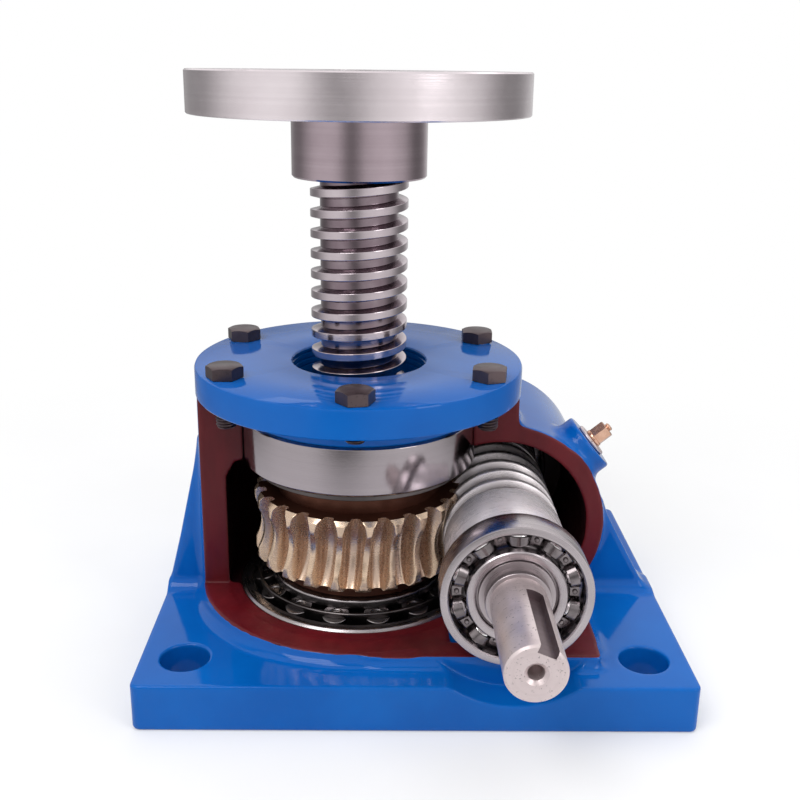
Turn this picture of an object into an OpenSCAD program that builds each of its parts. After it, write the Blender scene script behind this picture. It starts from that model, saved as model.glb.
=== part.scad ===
// Worm screw jack shown as a cutaway: a worm turns a bronze worm wheel on two tapered roller
// bearings, and the wheel's inner thread lifts a trapezoidal screw that carries a round plate.
// Units are millimetres. The screw axis is Z, the worm axis is parallel to Y, and Z = 0 is the
// underside of the base.

/* [Lift screw] */
// outside diameter of the trapezoidal thread
screw_d = 58; // [40:0.5:70]
// lead of the trapezoidal thread
screw_lead = 12; // [8:0.5:16]
// bare screw between the cover and the plate's hub, at rest
screw_reach = 110; // [60:1:220]

/* [Head plate] */
// diameter of the plate
plate_d = 197; // [150:1:260]
// thickness of the plate
plate_t = 24; // [16:0.5:32]
// diameter of the plate's hub
hub_d = 79; // [70:0.5:95]
// height of the hub below the plate
hub_h = 35.5; // [25:0.5:60]
// bolt hole diameter in the plate
plate_hole_d = 18; // [12:0.5:22]
// distance between neighbouring bolt holes of the plate
plate_hole_pitch = 106; // [95:1:120]

/* [Cover] */
// diameter of the cover
cover_d = 200; // [196:1:215]
// thickness of the cover
cover_t = 18; // [12:0.5:26]
// hole that the screw passes through
cover_bore_d = 82; // [72:0.5:95]
// bolt circle diameter of the cover
cover_bolt_circle = 176; // [170:0.5:178]
// thread diameter of the cover bolts
bolt_d = 12; // [10:1:14]
// length of a cover bolt under its head
bolt_len = 30; // [26:1:40]

/* [Base] */
// length of the base along X
base_x = 316; // [300:1:360]
// length of the base along Y
base_y = 244; // [236:1:280]
// thickness of the base
base_t = 28; // [22:0.5:34]
// diameter of the four fixing holes
base_hole_d = 28; // [18:0.5:32]
// distance between fixing holes along X
base_hole_dx = 264; // [255:1:276]
// distance between fixing holes along Y
base_hole_dy = 184; // [176:1:196]
// how far the middle of the base lies from the screw, towards the worm
base_shift = 34.5; // [28:0.5:40]

/* [Housing] */
// outside diameter of the round housing
wall_d = 199; // [192:1:206]
// inside diameter of the round housing
cavity_d = 167; // [160:1:172]
// outside diameter of the worm barrel
barrel_d = 132.6; // [124:0.2:138]
// inside diameter of the worm barrel
chamber_d = 110; // [100:0.5:114]
// half of the barrel's length
barrel_half = 102; // [100:0.5:104]
// distance of the upright cut from the screw axis
cut_y = 16; // [6:1:30]
// thickness of the two side ribs
rib_t = 18; // [10:0.5:24]
// floor that is left under the lower bearing
seat_floor = 6; // [4:0.5:8]

/* [Worm gearing] */
// module of the worm gearing
gear_module = 5; // [4.8:0.05:5.2]
// reference diameter of the worm
worm_ref_d = 63; // [60:0.5:66]
// number of teeth of the worm wheel
wheel_teeth = 24; // [22:1:25]
// profile shift of the wheel, in modules
wheel_shift = -0.5; // [-0.6:0.05:-0.3]
// face width of the wheel
wheel_face = 45.5; // [40:0.5:50]
// play between worm and wheel on each flank
gear_play = 0.3; // [0.2:0.05:0.5]
// distance between the wheel's two bearing shoulders
wheel_hub_len = 66; // [58:0.5:72]

/* [Tapered roller bearings] */
// outside diameter of the lower bearing
lower_od = 152; // [148:1:156]
// outside diameter of the upper bearing
upper_od = 145; // [143:0.5:150]
// bore of both tapered bearings
taper_bore = 85; // [82:0.5:88]
// rollers in each tapered bearing
roller_count = 15; // [12:1:17]

/* [Worm shaft] */
// diameter of the shaft ends
input_d = 32; // [28:0.5:35]
// distance from the screw axis to each shaft end
input_reach = 185; // [160:1:220]
// width of the keyways
key_w = 10; // [8:0.5:12]
// depth of the keyways
key_depth = 5; // [3:0.25:6]
// diameter of the centre holes in the shaft ends
centre_hole_d = 8.5; // [6:0.5:12]

/* [Ball bearings] */
// bore of the ball bearings
ball_bore = 45; // [44:0.5:46]
// outside diameter of the ball bearings
ball_od = 85; // [84:0.5:86]
// width of the ball bearings
ball_w = 19; // [17:0.5:20]
// balls in each bearing
ball_count = 10; // [8:1:10]

/* [Grease nipple] */
// angle of the nipple above the horizontal
nipple_angle = 40; // [30:1:55]
// diameter of the boss under the nipple
boss_d = 38; // [30:1:42]

/* [Hidden] */
$fn = 96;

enamel = [0.07, 0.37, 0.72];
steel = [0.72, 0.70, 0.71];
dark_steel = [0.24, 0.22, 0.23];
bronze = [0.72, 0.55, 0.36];
rubber = [0.08, 0.08, 0.08];

// heights, from the base upwards
cup_h = 30;
cone_h = 36;
bearing_t = 38.5;
lower_cup_top = seat_floor + cup_h;
floor_z = lower_cup_top - 0.5;
wheel_low = seat_floor + bearing_t;
wheel_high = wheel_low + wheel_hub_len;
worm_z = (wheel_low + wheel_high) / 2;
upper_cup_top = wheel_high + bearing_t;
upper_cup_low = upper_cup_top - cup_h;
spigot_h = 14.5;
wall_top = upper_cup_top + spigot_h;
cover_top = wall_top + cover_t;
hub_low = cover_top + screw_reach;
plate_low = hub_low + hub_h;
plate_top = plate_low + plate_t;

// gearing
wheel_ref_r = gear_module * wheel_teeth / 2;
worm_ref_r = worm_ref_d / 2;
worm_x = worm_ref_r + wheel_ref_r + wheel_shift * gear_module;
worm_lead = PI * gear_module;
worm_tip_r = worm_ref_r + gear_module;
worm_root_r = worm_ref_r - 1.2 * gear_module;
throat_r = worm_root_r + 1;
wheel_corner_r = worm_x - throat_r + 3.7;
wheel_corner_cut = 2.5;
worm_half = 43;
flank = tan(20);
// where the middle of the worm's thread meets the wheel, along Y
mesh_y = -2.13;

// tapered bearing, seen with its wide end up and the cup's back at 0
cup_wall = 4;
cone_wall = 4;
cup_angle = 15;
race_r = min(lower_od, upper_od) / 2 - cup_wall;
apex = cup_h - race_r / tan(cup_angle);
roller_top = cup_h + 2;
roller_low = 6;
roller_gap = 0.05;
cone_foot = roller_low - 0.9;
cone_angle = atan((taper_bore / 2 + cone_wall) / (cone_foot - apex));
roller_angle = (cup_angle - cone_angle) / 2;
axis_angle = cup_angle - roller_angle;

// ball bearing
ball_r = 6.35;
ball_pitch_r = (ball_bore + ball_od) / 4 + 0.2;
groove_r = 6.6;
ball_gap = 0.05;
ring_face = barrel_half + 9.4;
ring_back = ring_face - ball_w;
shaft_step_r = 18.2;
key_len = 55;
centre_sink = 1.8;
// how far the keyways stand above the horizontal, in degrees
key_turn = 67;
seal_r = 26;
seal_depth = 6.3;
end_screw_d = 8;
end_screw_reach = 16;
end_screw_af = 13;
end_screw_head = 5.3;

// trapezoidal thread
screw_r = screw_d / 2;
screw_root_r = screw_r - screw_lead / 2 - 0.5;
screw_mid_r = screw_r - screw_lead / 4;
screw_tan = tan(15);
screw_phase = 0.48;
nut_r = screw_r + 0.5;
nut_play = 0.35;
journal_gap = 0.02;

// half of the axial thickness of the worm's thread at a radius
function worm_half_w(r) = worm_lead / 4 - (r - worm_ref_r) * flank;
// distance of the worm's cylinder of radius r from the screw axis, h above the worm axis
function worm_side(r, h) = worm_x - sqrt(r * r - h * h);
// radius of the tooth spaces' bottoms, h above the worm axis
function root_at(h) = worm_side(worm_tip_r + 1, h);
// radius of the tooth tips, h above the worm axis
function tip_at(h) = abs(h) > wheel_face / 2 - 0.5 ? wheel_corner_r - wheel_corner_cut :
  abs(h) > throat_r * 0.9 ? wheel_corner_r : min(wheel_corner_r, worm_side(throat_r, h));
// one flank of the worm's thread in the plane h above the worm axis, where side is 1 or -1
function rack_y(x, h, side) =
  let (r = max(worm_root_r, norm([worm_x - x, h])))
  worm_lead * asin(h / r) / 360 + side * (worm_half_w(r) + gear_play);
// the angle at which a tooth space's flank stands on radius r, from the worm's whole travel past it
function swept(r, h, side, reach) = side * max([for (k = [-12:12])
  let (d = reach * k / 12)
  side * ((rack_y(r * cos(d), h, side) - r * sin(d)) / wheel_ref_r * 180 / PI + d)]);
function space_angle(r, h, side) =
  let (low = worm_side(worm_tip_r, h), q = max(r, low + 0.05))
  swept(q, h, side, acos(low / q));

// extra angle cleared at the tooth's root, from the bottom of the space upwards
root_relief = [0.35, 0.35, 0.28, 0.12, 0, 0];

// an upright section of one wheel tooth: its angles and radii at height h
function tooth_section(h) =
  let (low = worm_side(worm_tip_r, h), top = tip_at(h),
    rs = [root_at(h) - 1.2, low + 0.05, low + (top - low) * 0.13, low + (top - low) * 0.36,
      low + (top - low) * 0.68, top])
  concat([for (k = [0:5]) polar(rs[k], space_angle(rs[k], h, 1) + root_relief[k], h)],
    [for (k = [5:-1:0])
      polar(rs[k], 360 / wheel_teeth + space_angle(rs[k], h, -1) - root_relief[k], h)]);
function polar(r, t, z) = [r * cos(t), r * sin(t), z];
// triangles between stacked rings of n points, with both end rings closed
function skin(n, rows) = concat(
  [for (i = [0:rows - 2], j = [0:n - 1]) [i * n + j, (i + 1) * n + j, (i + 1) * n + (j + 1) % n]],
  [for (i = [0:rows - 2], j = [0:n - 1]) [i * n + j, (i + 1) * n + (j + 1) % n, i * n + (j + 1) % n]],
  [for (j = [0:n / 2 - 2]) [j, j + 1, n - 1 - j]],
  [for (j = [0:n / 2 - 2]) [j + 1, n - 2 - j, n - 1 - j]],
  [for (j = [0:n / 2 - 2]) [(rows - 1) * n + j, rows * n - 1 - j, (rows - 1) * n + j + 1]],
  [for (j = [0:n / 2 - 2])
    [(rows - 1) * n + j + 1, rows * n - 1 - j, rows * n - 2 - j]]);

module wheel_tooth() {
  e = wheel_face / 2;
  hs = [-e, -e + 4, -e * 0.52, -e * 0.26, 0, e * 0.26, e * 0.52, e - 4, e];
  polyhedron(points = [for (h = hs) each tooth_section(h)], faces = skin(12, len(hs)));
}

// a rod with one helical ridge, whose height fades out over half a turn at both ends
module threaded_rod(root, crest, w_root, w_crest, lead, from, turns, low, high, n) {
  m = round(turns * n);
  f = n / 2;
  b = 2 * n;
  function ridge(i) = root + (crest - root) * max(0.06, min(1, i / f, (m - i) / f));
  function at(r, i, z) = polar(r, 360 * i / n, z);
  pts = concat(
    [for (i = [0:n - 1]) at(root, i, low)],
    [for (i = [0:n - 1]) at(root, i, high)],
    [for (i = [0:m]) let (z = from + lead * i / n)
      each [at(root, i, z - w_root / 2), at(ridge(i), i, z - w_crest / 2),
        at(ridge(i), i, z + w_crest / 2), at(root, i, z + w_root / 2)]]);
  function v(i, k) = b + 4 * i + k;
  function e(i) = i % n;
  function g(i) = n + i % n;
  faces = concat(
    [[for (i = [0:n - 1]) i]],
    [[for (i = [n - 1:-1:0]) n + i]],
    [for (i = [0:m - 1], k = [0:2]) each [[v(i, k), v(i, k + 1), v(i + 1, k + 1)],
      [v(i, k), v(i + 1, k + 1), v(i + 1, k)]]],
    [for (i = [0:m - n - 1]) each [[v(i, 3), v(i + n, 0), v(i + n + 1, 0)],
      [v(i, 3), v(i + n + 1, 0), v(i + 1, 3)]]],
    [for (i = [0:n - 2]) each [[e(i), v(i, 0), v(i + 1, 0)], [e(i), v(i + 1, 0), e(i + 1)]]],
    [[e(n - 1), v(n - 1, 0), v(n, 0)], [e(n - 1), v(n, 0), v(0, 3)],
      [e(n - 1), v(0, 3), v(0, 0)], [e(n - 1), v(0, 0), e(0)]],
    [for (i = [m - n + 1:m - 1]) each [[v(i, 3), g(i), g(i + 1)], [v(i, 3), g(i + 1), v(i + 1, 3)]]],
    [[v(m - n + 1, 3), g(m), g(m + 1)], [v(m - n + 1, 3), v(m, 3), g(m)],
      [v(m - n + 1, 3), v(m, 0), v(m, 3)], [v(m - n + 1, 3), v(m - n, 3), v(m, 0)]],
    [[v(0, 0), v(0, 3), v(0, 2)], [v(0, 0), v(0, 2), v(0, 1)]],
    [[v(m, 0), v(m, 1), v(m, 2)], [v(m, 0), v(m, 2), v(m, 3)]]);
  polyhedron(points = pts, faces = faces);
}

// a helical bar, as an inner thread's ridge: inner and outer radius with their widths
module helical_bar(r_in, w_in, r_out, w_out, lead, from, turns, n) {
  m = round(turns * n);
  pts = [for (i = [0:m]) let (z = from + lead * i / n, t = 360 * i / n)
    each [polar(r_in, t, z - w_in / 2), polar(r_out, t, z - w_out / 2),
      polar(r_out, t, z + w_out / 2), polar(r_in, t, z + w_in / 2)]];
  faces = concat(
    [for (i = [0:m - 1], k = [0:3]) each [
      [4 * i + k, 4 * i + (k + 1) % 4, 4 * i + 4 + (k + 1) % 4],
      [4 * i + k, 4 * i + 4 + (k + 1) % 4, 4 * i + 4 + k]]],
    [[0, 3, 2], [0, 2, 1]],
    [[4 * m, 4 * m + 1, 4 * m + 2], [4 * m, 4 * m + 2, 4 * m + 3]]);
  polyhedron(points = pts, faces = faces);
}

// a cylinder along Y from y0 to y1
module bar_y(r, y0, y1) {
  translate([0, y0, 0]) rotate([-90, 0, 0]) cylinder(r = r, h = y1 - y0);
}
module ring_y(r_out, r_in, y0, y1) {
  difference() {
    bar_y(r_out, y0, y1);
    bar_y(r_in, y0 - 1, y1 + 1);
  }
}
module at_worm() {
  translate([worm_x, 0, worm_z]) children();
}
module mirror_y() {
  rotate([0, 0, 180]) children();
}

// ---------------------------------------------------------------- housing
module base_slab() {
  c = 5;
  x0 = base_shift - base_x / 2;
  y0 = -base_y / 2;
  translate([x0 + c, y0, 0]) cube([base_x - 2 * c, base_y, base_t]);
  translate([x0, y0 + c, 0]) cube([base_x, base_y - 2 * c, base_t]);
  for (x = [x0 + c, x0 + base_x - c], y = [y0 + c, -y0 - c])
    translate([x, y, 0]) cylinder(r = c, h = base_t);
}
module base_hole_places() {
  for (x = [-1, 1], y = [-1, 1])
    translate([base_shift + x * base_hole_dx / 2, y * base_hole_dy / 2, 0]) children();
}
// the solid foot under the worm barrel, with its outer corners rounded
foot_w = sqrt(pow(barrel_d / 2, 2) - pow(worm_z - floor_z, 2));
foot_x = worm_x + foot_w;
foot_r = 20;
module barrel_foot() {
  translate([0, -barrel_half, 0]) cube([foot_x - foot_r, 2 * barrel_half, floor_z]);
  translate([0, -barrel_half + foot_r, 0]) cube([foot_x, 2 * (barrel_half - foot_r), floor_z]);
  for (y = [-1, 1])
    translate([foot_x - foot_r, y * (barrel_half - foot_r), 0]) cylinder(r = foot_r, h = floor_z);
}
module rib(points) {
  rotate([90, 0, 0]) translate([0, 0, -rib_t / 2]) linear_extrude(rib_t) polygon(points);
}
rib_low = base_t - 8;
rib_left = base_shift - base_x / 2;
rib_right = base_shift + base_x / 2;
module ribs() {
  rib([[-wall_d / 2 + 12, rib_low], [rib_left + 0.5, rib_low], [rib_left + 0.5, base_t + 2],
    [-wall_d / 2 - 14.7, base_t + 37], [-wall_d / 2 - 5.8, base_t + 76.6],
    [-wall_d / 2 + 0.5, base_t + 102], [-wall_d / 2 + 12, base_t + 102]]);
  rib([[foot_x - 20, rib_low], [rib_right - 3, rib_low], [rib_right - 4.7, base_t + 0.2],
    [worm_x + barrel_d / 2 + 13, base_t + 35.8], [worm_x + barrel_d / 2 - 1, base_t + 62],
    [foot_x - 20, base_t + 62]]);
}
// a rounded root all round the upright wall
root_r = 10;
module wall_root() {
  r = wall_d / 2;
  rotate_extrude() polygon([[r - 2, base_t - 1], [r + root_r, base_t - 1],
    [r + root_r, base_t + 0.05], [r + root_r * 0.42, base_t + root_r * 0.1],
    [r + root_r * 0.1, base_t + root_r * 0.42], [r - 0.05, base_t + root_r * 0.74],
    [r - 2, base_t + root_r * 0.74]]);
}
module foot_root_side(len) {
  rotate([90, 0, 0]) linear_extrude(len) polygon([[-2, base_t - 1], [root_r, base_t - 1],
    [root_r, base_t + 0.05], [root_r * 0.42, base_t + root_r * 0.1],
    [root_r * 0.1, base_t + root_r * 0.42], [-0.05, base_t + root_r * 0.74],
    [-2, base_t + root_r * 0.74]]);
}
boss_face = barrel_d / 2 + 9.7;
boss_y = 5;
module at_boss() {
  at_worm() translate([0, boss_y, 0]) rotate([0, 90 - nipple_angle, 0]) children();
}
scoop_r = 61;
module housing_body() {
  base_slab();
  cylinder(r = wall_d / 2, h = wall_top);
  barrel_foot();
  at_worm() bar_y(barrel_d / 2, -barrel_half, barrel_half);
  ribs();
  wall_root();
  for (y = [-1, 1])
    translate([foot_x - foot_r, y * barrel_half, 0]) rotate([0, 0, 90 * y])
      translate([0, (y > 0 ? foot_x - foot_r : 0), 0]) foot_root_side(foot_x - foot_r);
  translate([foot_x, barrel_half - foot_r, 0]) foot_root_side(2 * (barrel_half - foot_r));
  at_boss() translate([0, 0, chamber_d / 2 + 4]) cylinder(r = boss_d / 2, h = boss_face - chamber_d / 2 - 4);
}
module housing() color(enamel) difference() {
  housing_body();
  // bearing seats and the room for the wheel
  translate([0, 0, seat_floor]) cylinder(r = lower_od / 2, h = floor_z);
  translate([0, 0, -1]) cylinder(r = screw_r + 3, h = seat_floor + 2);
  translate([0, 0, floor_z]) cylinder(r = cavity_d / 2, h = upper_cup_low - 10.7 - floor_z);
  translate([0, 0, upper_cup_low - 10.71]) cylinder(r1 = cavity_d / 2, r2 = cavity_d / 2 - 5.5, h = 10.71);
  translate([0, 0, upper_cup_low - 0.01]) cylinder(r = upper_od / 2, h = wall_top);
  // worm chamber and the ball bearings' seats
  at_worm() bar_y(chamber_d / 2, -barrel_half + 16, barrel_half - 22);
  at_worm() bar_y(ball_od / 2, -barrel_half - 30, barrel_half + 30);
  // hollows that clear the bearing covers
  at_worm() bar_y(scoop_r, barrel_half, base_y);
  at_worm() bar_y(scoop_r, -base_y, -barrel_half);
  base_hole_places() translate([0, 0, -1]) cylinder(r = base_hole_d / 2, h = base_t + 2);
  for (k = [0:2]) rotate([0, 0, 30 + 60 * k]) translate([cover_bolt_circle / 2, 0, wall_top - bolt_len + 6])
    cylinder(r = bolt_d / 2 + 0.05, h = bolt_len);
  at_worm() rear_screw_places() bar_y(end_screw_d / 2 + 0.05, barrel_half - end_screw_reach - 2, barrel_half + 1);
  at_boss() cylinder(r = 5.05, h = boss_face + 5);
  // the part cut away to show the gearing
  translate([-200, -300 - cut_y, floor_z]) cube([500, 300, 300]);
}

// ---------------------------------------------------------------- cover
module top_cover() color(enamel) difference() {
  union() {
    translate([0, 0, upper_cup_top]) cylinder(r = upper_od / 2 - 0.8, h = spigot_h + 1);
    translate([0, 0, wall_top]) cylinder(r = cover_d / 2, h = cover_t - 1.5);
    translate([0, 0, cover_top - 1.5]) cylinder(r1 = cover_d / 2, r2 = cover_d / 2 - 1.5, h = 1.5);
  }
  translate([0, 0, upper_cup_top - 1]) cylinder(r = cover_bore_d / 2, h = spigot_h + cover_t + 2);
  for (k = [0:2]) translate([0, 0, cover_top - 3 - 4 * k]) cylinder(r = cover_bore_d / 2 + 0.8, h = 1.2);
  for (k = [0:5]) rotate([0, 0, 30 + 60 * k]) translate([cover_bolt_circle / 2, 0, wall_top - 1])
    cylinder(r = bolt_d / 2 + 0.6, h = cover_t + 2);
}
bolt_head_h = 7.5;
module hex_head(af, h) {
  intersection() {
    cylinder(d = af / cos(30), h = h, $fn = 6);
    cylinder(r1 = af / 2 + h * 2, r2 = af / 2 - 0.5, h = h);
  }
}
module cover_bolts() color(dark_steel) for (k = [0:5]) rotate([0, 0, 30 + 60 * k])
  translate([cover_bolt_circle / 2, 0, cover_top]) {
    rotate([0, 0, 10 * k]) hex_head(bolt_d * 1.58, bolt_head_h);
    translate([0, 0, -bolt_len + 1]) cylinder(r = bolt_d / 2, h = bolt_len);
    translate([0, 0, -bolt_len]) cylinder(r1 = bolt_d / 2 - 1, r2 = bolt_d / 2, h = 1.01);
  }

// ---------------------------------------------------------------- tapered roller bearings
module on_lower() {
  translate([0, 0, seat_floor]) children();
}
module on_upper() {
  translate([0, 0, upper_cup_top]) rotate([180, 0, 0]) children();
}
function race_at(z) = (z - apex) * tan(cup_angle);
module taper_cup(od) {
  rotate_extrude() polygon([[race_at(0.8), 0.8], [race_at(0.8) + 0.8, 0], [od / 2 - 1.5, 0],
    [od / 2, 1.5], [od / 2, cup_h - 1.5], [od / 2 - 1.5, cup_h], [race_r + 0.6, cup_h],
    [race_at(cup_h - 0.6), cup_h - 0.6]]);
}
function roller_mid(z) = (z - apex) * tan(axis_angle);
module taper_cone() {
  t = tan(cone_angle);
  low = cup_h + 8.5 - cone_h;
  r_top = (roller_top - apex) * t;
  face = roller_top + (roller_mid(roller_top) - r_top) * tan(axis_angle) + 0.15;
  foot = cone_foot;
  rotate_extrude() polygon([[taper_bore / 2, low + 1], [taper_bore / 2 + 1, low],
    [(foot - apex) * t + 1.3, low], [(foot - apex) * t + 1.3, foot],
    [(foot - apex) * t, foot], [(face - apex) * t, face],
    [(face - apex) * t + 3.4, face - 3.4 * tan(axis_angle)],
    [(face - apex) * t + 3.4, bearing_t - 0.8], [(face - apex) * t + 2.6, bearing_t],
    [taper_bore / 2 + 1, bearing_t], [taper_bore / 2, bearing_t - 1]]);
}
module taper_rollers(extra) {
  s0 = (roller_low - apex) / cos(axis_angle);
  s1 = (roller_top - apex) / cos(axis_angle);
  for (k = [0:roller_count - 1]) rotate([0, 0, 360 * (k + 0.5) / roller_count - 90])
    translate([0, 0, apex]) rotate([0, axis_angle, 0]) translate([0, 0, s0 - extra])
      cylinder(r1 = s0 * tan(roller_angle) - roller_gap + extra,
        r2 = s1 * tan(roller_angle) - roller_gap + extra, h = s1 - s0 + 2 * extra);
}
module taper_cage() {
  out = 3.2;
  low = 3.2;
  high = roller_top + 3;
  difference() {
    rotate_extrude() polygon([[roller_mid(low) + out - 1.1, low], [roller_mid(low) + out + 1.1, low],
      [roller_mid(high) + out + 1.1, high], [roller_mid(high) + out - 1.1, high]]);
    taper_rollers(0.3);
  }
}
module lower_cup() color(dark_steel) on_lower() taper_cup(lower_od);
module lower_cone() color(dark_steel) on_lower() taper_cone();
module lower_rollers() color(steel) on_lower() taper_rollers(0);
module lower_cage() color(dark_steel) on_lower() taper_cage();
module upper_cup() color(steel) on_upper() taper_cup(upper_od);
module upper_cone() color(dark_steel) on_upper() taper_cone();
module upper_rollers() color(steel) on_upper() taper_rollers(0);
module upper_cage() color(dark_steel) on_upper() taper_cage();

// ---------------------------------------------------------------- worm wheel
wheel_hub_r = taper_bore / 2 + 9.5;
module wheel_blank() {
  e = wheel_face / 2;
  low = seat_floor + 3 - worm_z;
  high = upper_cup_top - 3 - worm_z;
  rim = [for (k = [0.97, 0.76, 0.4, 0.13, -0.13, -0.4, -0.76, -0.97]) [root_at(e * k), e * k]];
  translate([0, 0, worm_z]) rotate_extrude() polygon(concat(
    [[nut_r + 1.5, low], [nut_r + 1.5, low + 4], [nut_r, low + 5.5], [nut_r, high - 5.5],
      [nut_r + 1.5, high - 4], [nut_r + 1.5, high], [taper_bore / 2 - 1, high],
      [taper_bore / 2, high - 1], [taper_bore / 2, wheel_high - worm_z],
      [wheel_hub_r, wheel_high - worm_z], [wheel_hub_r, e * 0.97]],
    rim,
    [[wheel_hub_r, -e * 0.97], [wheel_hub_r, wheel_low - worm_z], [taper_bore / 2, wheel_low - worm_z],
      [taper_bore / 2, low + 1], [taper_bore / 2 - 1, low]]));
}
nut_turns = floor((upper_cup_top - seat_floor - 34) / screw_lead * 2) / 2;
nut_from = screw_phase + screw_lead * (ceil((seat_floor + 16 - screw_phase) / screw_lead) + 0.5);
module nut_thread() {
  w = screw_lead / 2 - 2 * nut_play;
  r_in = screw_root_r + 0.7;
  r_out = nut_r + 0.6;
  helical_bar(r_in, w - 2 * (screw_mid_r - r_in) * screw_tan, r_out,
    w + 2 * (r_out - screw_mid_r) * screw_tan, screw_lead, nut_from, nut_turns, 24);
}
module worm_wheel() color(bronze) union() {
  wheel_blank();
  nut_thread();
  translate([0, 0, worm_z]) for (k = [0:wheel_teeth - 1])
    rotate([0, 0, mesh_y / wheel_ref_r * 180 / PI + 360 * k / wheel_teeth]) wheel_tooth();
}

// ---------------------------------------------------------------- worm shaft
module shaft_end() {
  translate([0, 0, shaft_step_z - 3]) cylinder(r = input_d / 2, h = input_reach - shaft_step_z + 1.5);
  translate([0, 0, input_reach - 1.51]) cylinder(r1 = input_d / 2, r2 = input_d / 2 - 1.5, h = 1.51);
}
shaft_step_z = ring_face + 6;
module shaft_cuts() {
  translate([0, 0, input_reach - key_len])
    translate([input_d / 2 - key_depth, -key_w / 2, 0]) cube([20, key_w, key_len + 15]);
  translate([0, 0, input_reach - 22]) cylinder(r = centre_hole_d / 2, h = 30);
  translate([0, 0, input_reach - centre_sink])
    cylinder(r1 = centre_hole_d / 2, r2 = centre_hole_d / 2 + centre_sink + 0.5, h = centre_sink + 0.5);
}
// the worm's thread, cut square at both ends of the worm
module worm_thread() intersection() {
  rotate([-90, 0, 0]) threaded_rod(worm_root_r, worm_tip_r, 2 * worm_half_w(worm_root_r),
    2 * worm_half_w(worm_tip_r), worm_lead, mesh_y - 3.5 * worm_lead, 7, -worm_half - 24,
    worm_half + 24, 32);
  bar_y(worm_tip_r + 2, -worm_half, worm_half);
}
module worm_shaft() color(steel) at_worm() difference() {
  union() {
    worm_thread();
    bar_y(ball_bore / 2, -ring_face + 1.5, ring_face - 1.5);
    bar_y(shaft_step_r, -shaft_step_z, shaft_step_z);
    for (a = [90, -90]) rotate([0, -key_turn, 0]) rotate([a, 0, 0]) shaft_end();
  }
  for (a = [90, -90]) rotate([0, -key_turn, 0]) rotate([a, 0, 0]) shaft_cuts();
}
sleeve_r = worm_tip_r;
module sleeve() {
  ring_y(sleeve_r, ball_bore / 2 + journal_gap, worm_half, ring_back);
}
module front_sleeve() color(steel) at_worm() mirror_y() sleeve();
module rear_sleeve() color(steel) at_worm() sleeve();

// ---------------------------------------------------------------- ball bearings
module on_rear() {
  at_worm() translate([0, ring_back, 0]) rotate([-90, 0, 0]) children();
}
module on_front() {
  at_worm() translate([0, -ring_back, 0]) rotate([90, 0, 0]) children();
}
land = 4.9;
module ball_outer() {
  rotate_extrude() difference() {
    polygon([[ball_pitch_r + land, 0.6], [ball_pitch_r + land + 0.6, 0], [ball_od / 2 - 1, 0],
      [ball_od / 2, 1], [ball_od / 2, ball_w - 1], [ball_od / 2 - 1, ball_w],
      [ball_pitch_r + land + 0.6, ball_w], [ball_pitch_r + land, ball_w - 0.6]]);
    translate([ball_pitch_r + ball_r + ball_gap - groove_r, ball_w / 2]) circle(r = groove_r);
  }
}
module ball_inner() {
  r_in = ball_bore / 2 + journal_gap;
  rotate_extrude() difference() {
    polygon([[r_in, 1], [r_in + 1, 0], [ball_pitch_r - land - 0.6, 0], [ball_pitch_r - land, 0.6],
      [ball_pitch_r - land, ball_w - 0.6], [ball_pitch_r - land - 0.6, ball_w], [r_in + 1, ball_w],
      [r_in, ball_w - 1]]);
    translate([ball_pitch_r - ball_r - ball_gap + groove_r, ball_w / 2]) circle(r = groove_r);
  }
}
module ball_places() {
  for (k = [0:ball_count - 1]) rotate([0, 0, 90 + 360 * k / ball_count])
    translate([ball_pitch_r, 0, ball_w / 2]) children();
}
module balls() {
  ball_places() sphere(r = ball_r);
}
module ball_cage() {
  difference() {
    union() {
      translate([0, 0, ball_w / 2 - 1.3]) difference() {
        cylinder(r = ball_pitch_r + 1.7, h = 2.6);
        translate([0, 0, -1]) cylinder(r = ball_pitch_r - 1.7, h = 5);
      }
      ball_places() rotate([0, 90, 0]) translate([0, 0, -1.9]) cylinder(r = ball_r + 1.2, h = 3.8);
    }
    ball_places() rotate([0, 90, 0]) translate([0, 0, -4]) cylinder(r = ball_r + 0.15, h = 8);
  }
}
module front_outer_ring() color(steel) on_front() ball_outer();
module front_inner_ring() color(steel) on_front() ball_inner();
module front_balls() color(steel) on_front() balls();
module front_cage() color(dark_steel) on_front() ball_cage();
module rear_outer_ring() color(steel) on_rear() ball_outer();
module rear_inner_ring() color(steel) on_rear() ball_inner();
module rear_balls() color(steel) on_rear() balls();
module rear_cage() color(dark_steel) on_rear() ball_cage();

// ---------------------------------------------------------------- rear bearing cover
end_cover_r = scoop_r - 1;
end_cover_t = 16;
rear_screw_r = 52;
module rear_screw_places() {
  for (a = [45:90:315]) rotate([0, a, 0]) translate([rear_screw_r, 0, 0]) children();
}
module rear_end_cover() color(enamel) at_worm() difference() {
  bar_y(end_cover_r, barrel_half, barrel_half + end_cover_t);
  bar_y(ball_od / 2 + 0.05, barrel_half - 1, ring_face);
  bar_y(seal_r, ring_face - 1, barrel_half + end_cover_t + 1);
  rear_screw_places() bar_y(end_screw_d / 2 + 0.4, barrel_half - 1, barrel_half + end_cover_t + 1);
}
module rear_cover_screws() color(dark_steel) at_worm() rear_screw_places() {
  bar_y(end_screw_d / 2, barrel_half - end_screw_reach, barrel_half + end_cover_t + 1);
  translate([0, barrel_half + end_cover_t, 0]) rotate([-90, 0, 0])
    hex_head(end_screw_af, end_screw_head);
}
module rear_shaft_seal() color(rubber) at_worm() translate([0, ring_face, 0]) rotate([-90, 0, 0])
  rotate_extrude() polygon([[shaft_step_r + 0.05, 2], [shaft_step_r + 1.2, 0.3], [seal_r, 0.3],
    [seal_r, seal_depth], [shaft_step_r + 3, seal_depth], [shaft_step_r + 1.6, 4]]);

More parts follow.
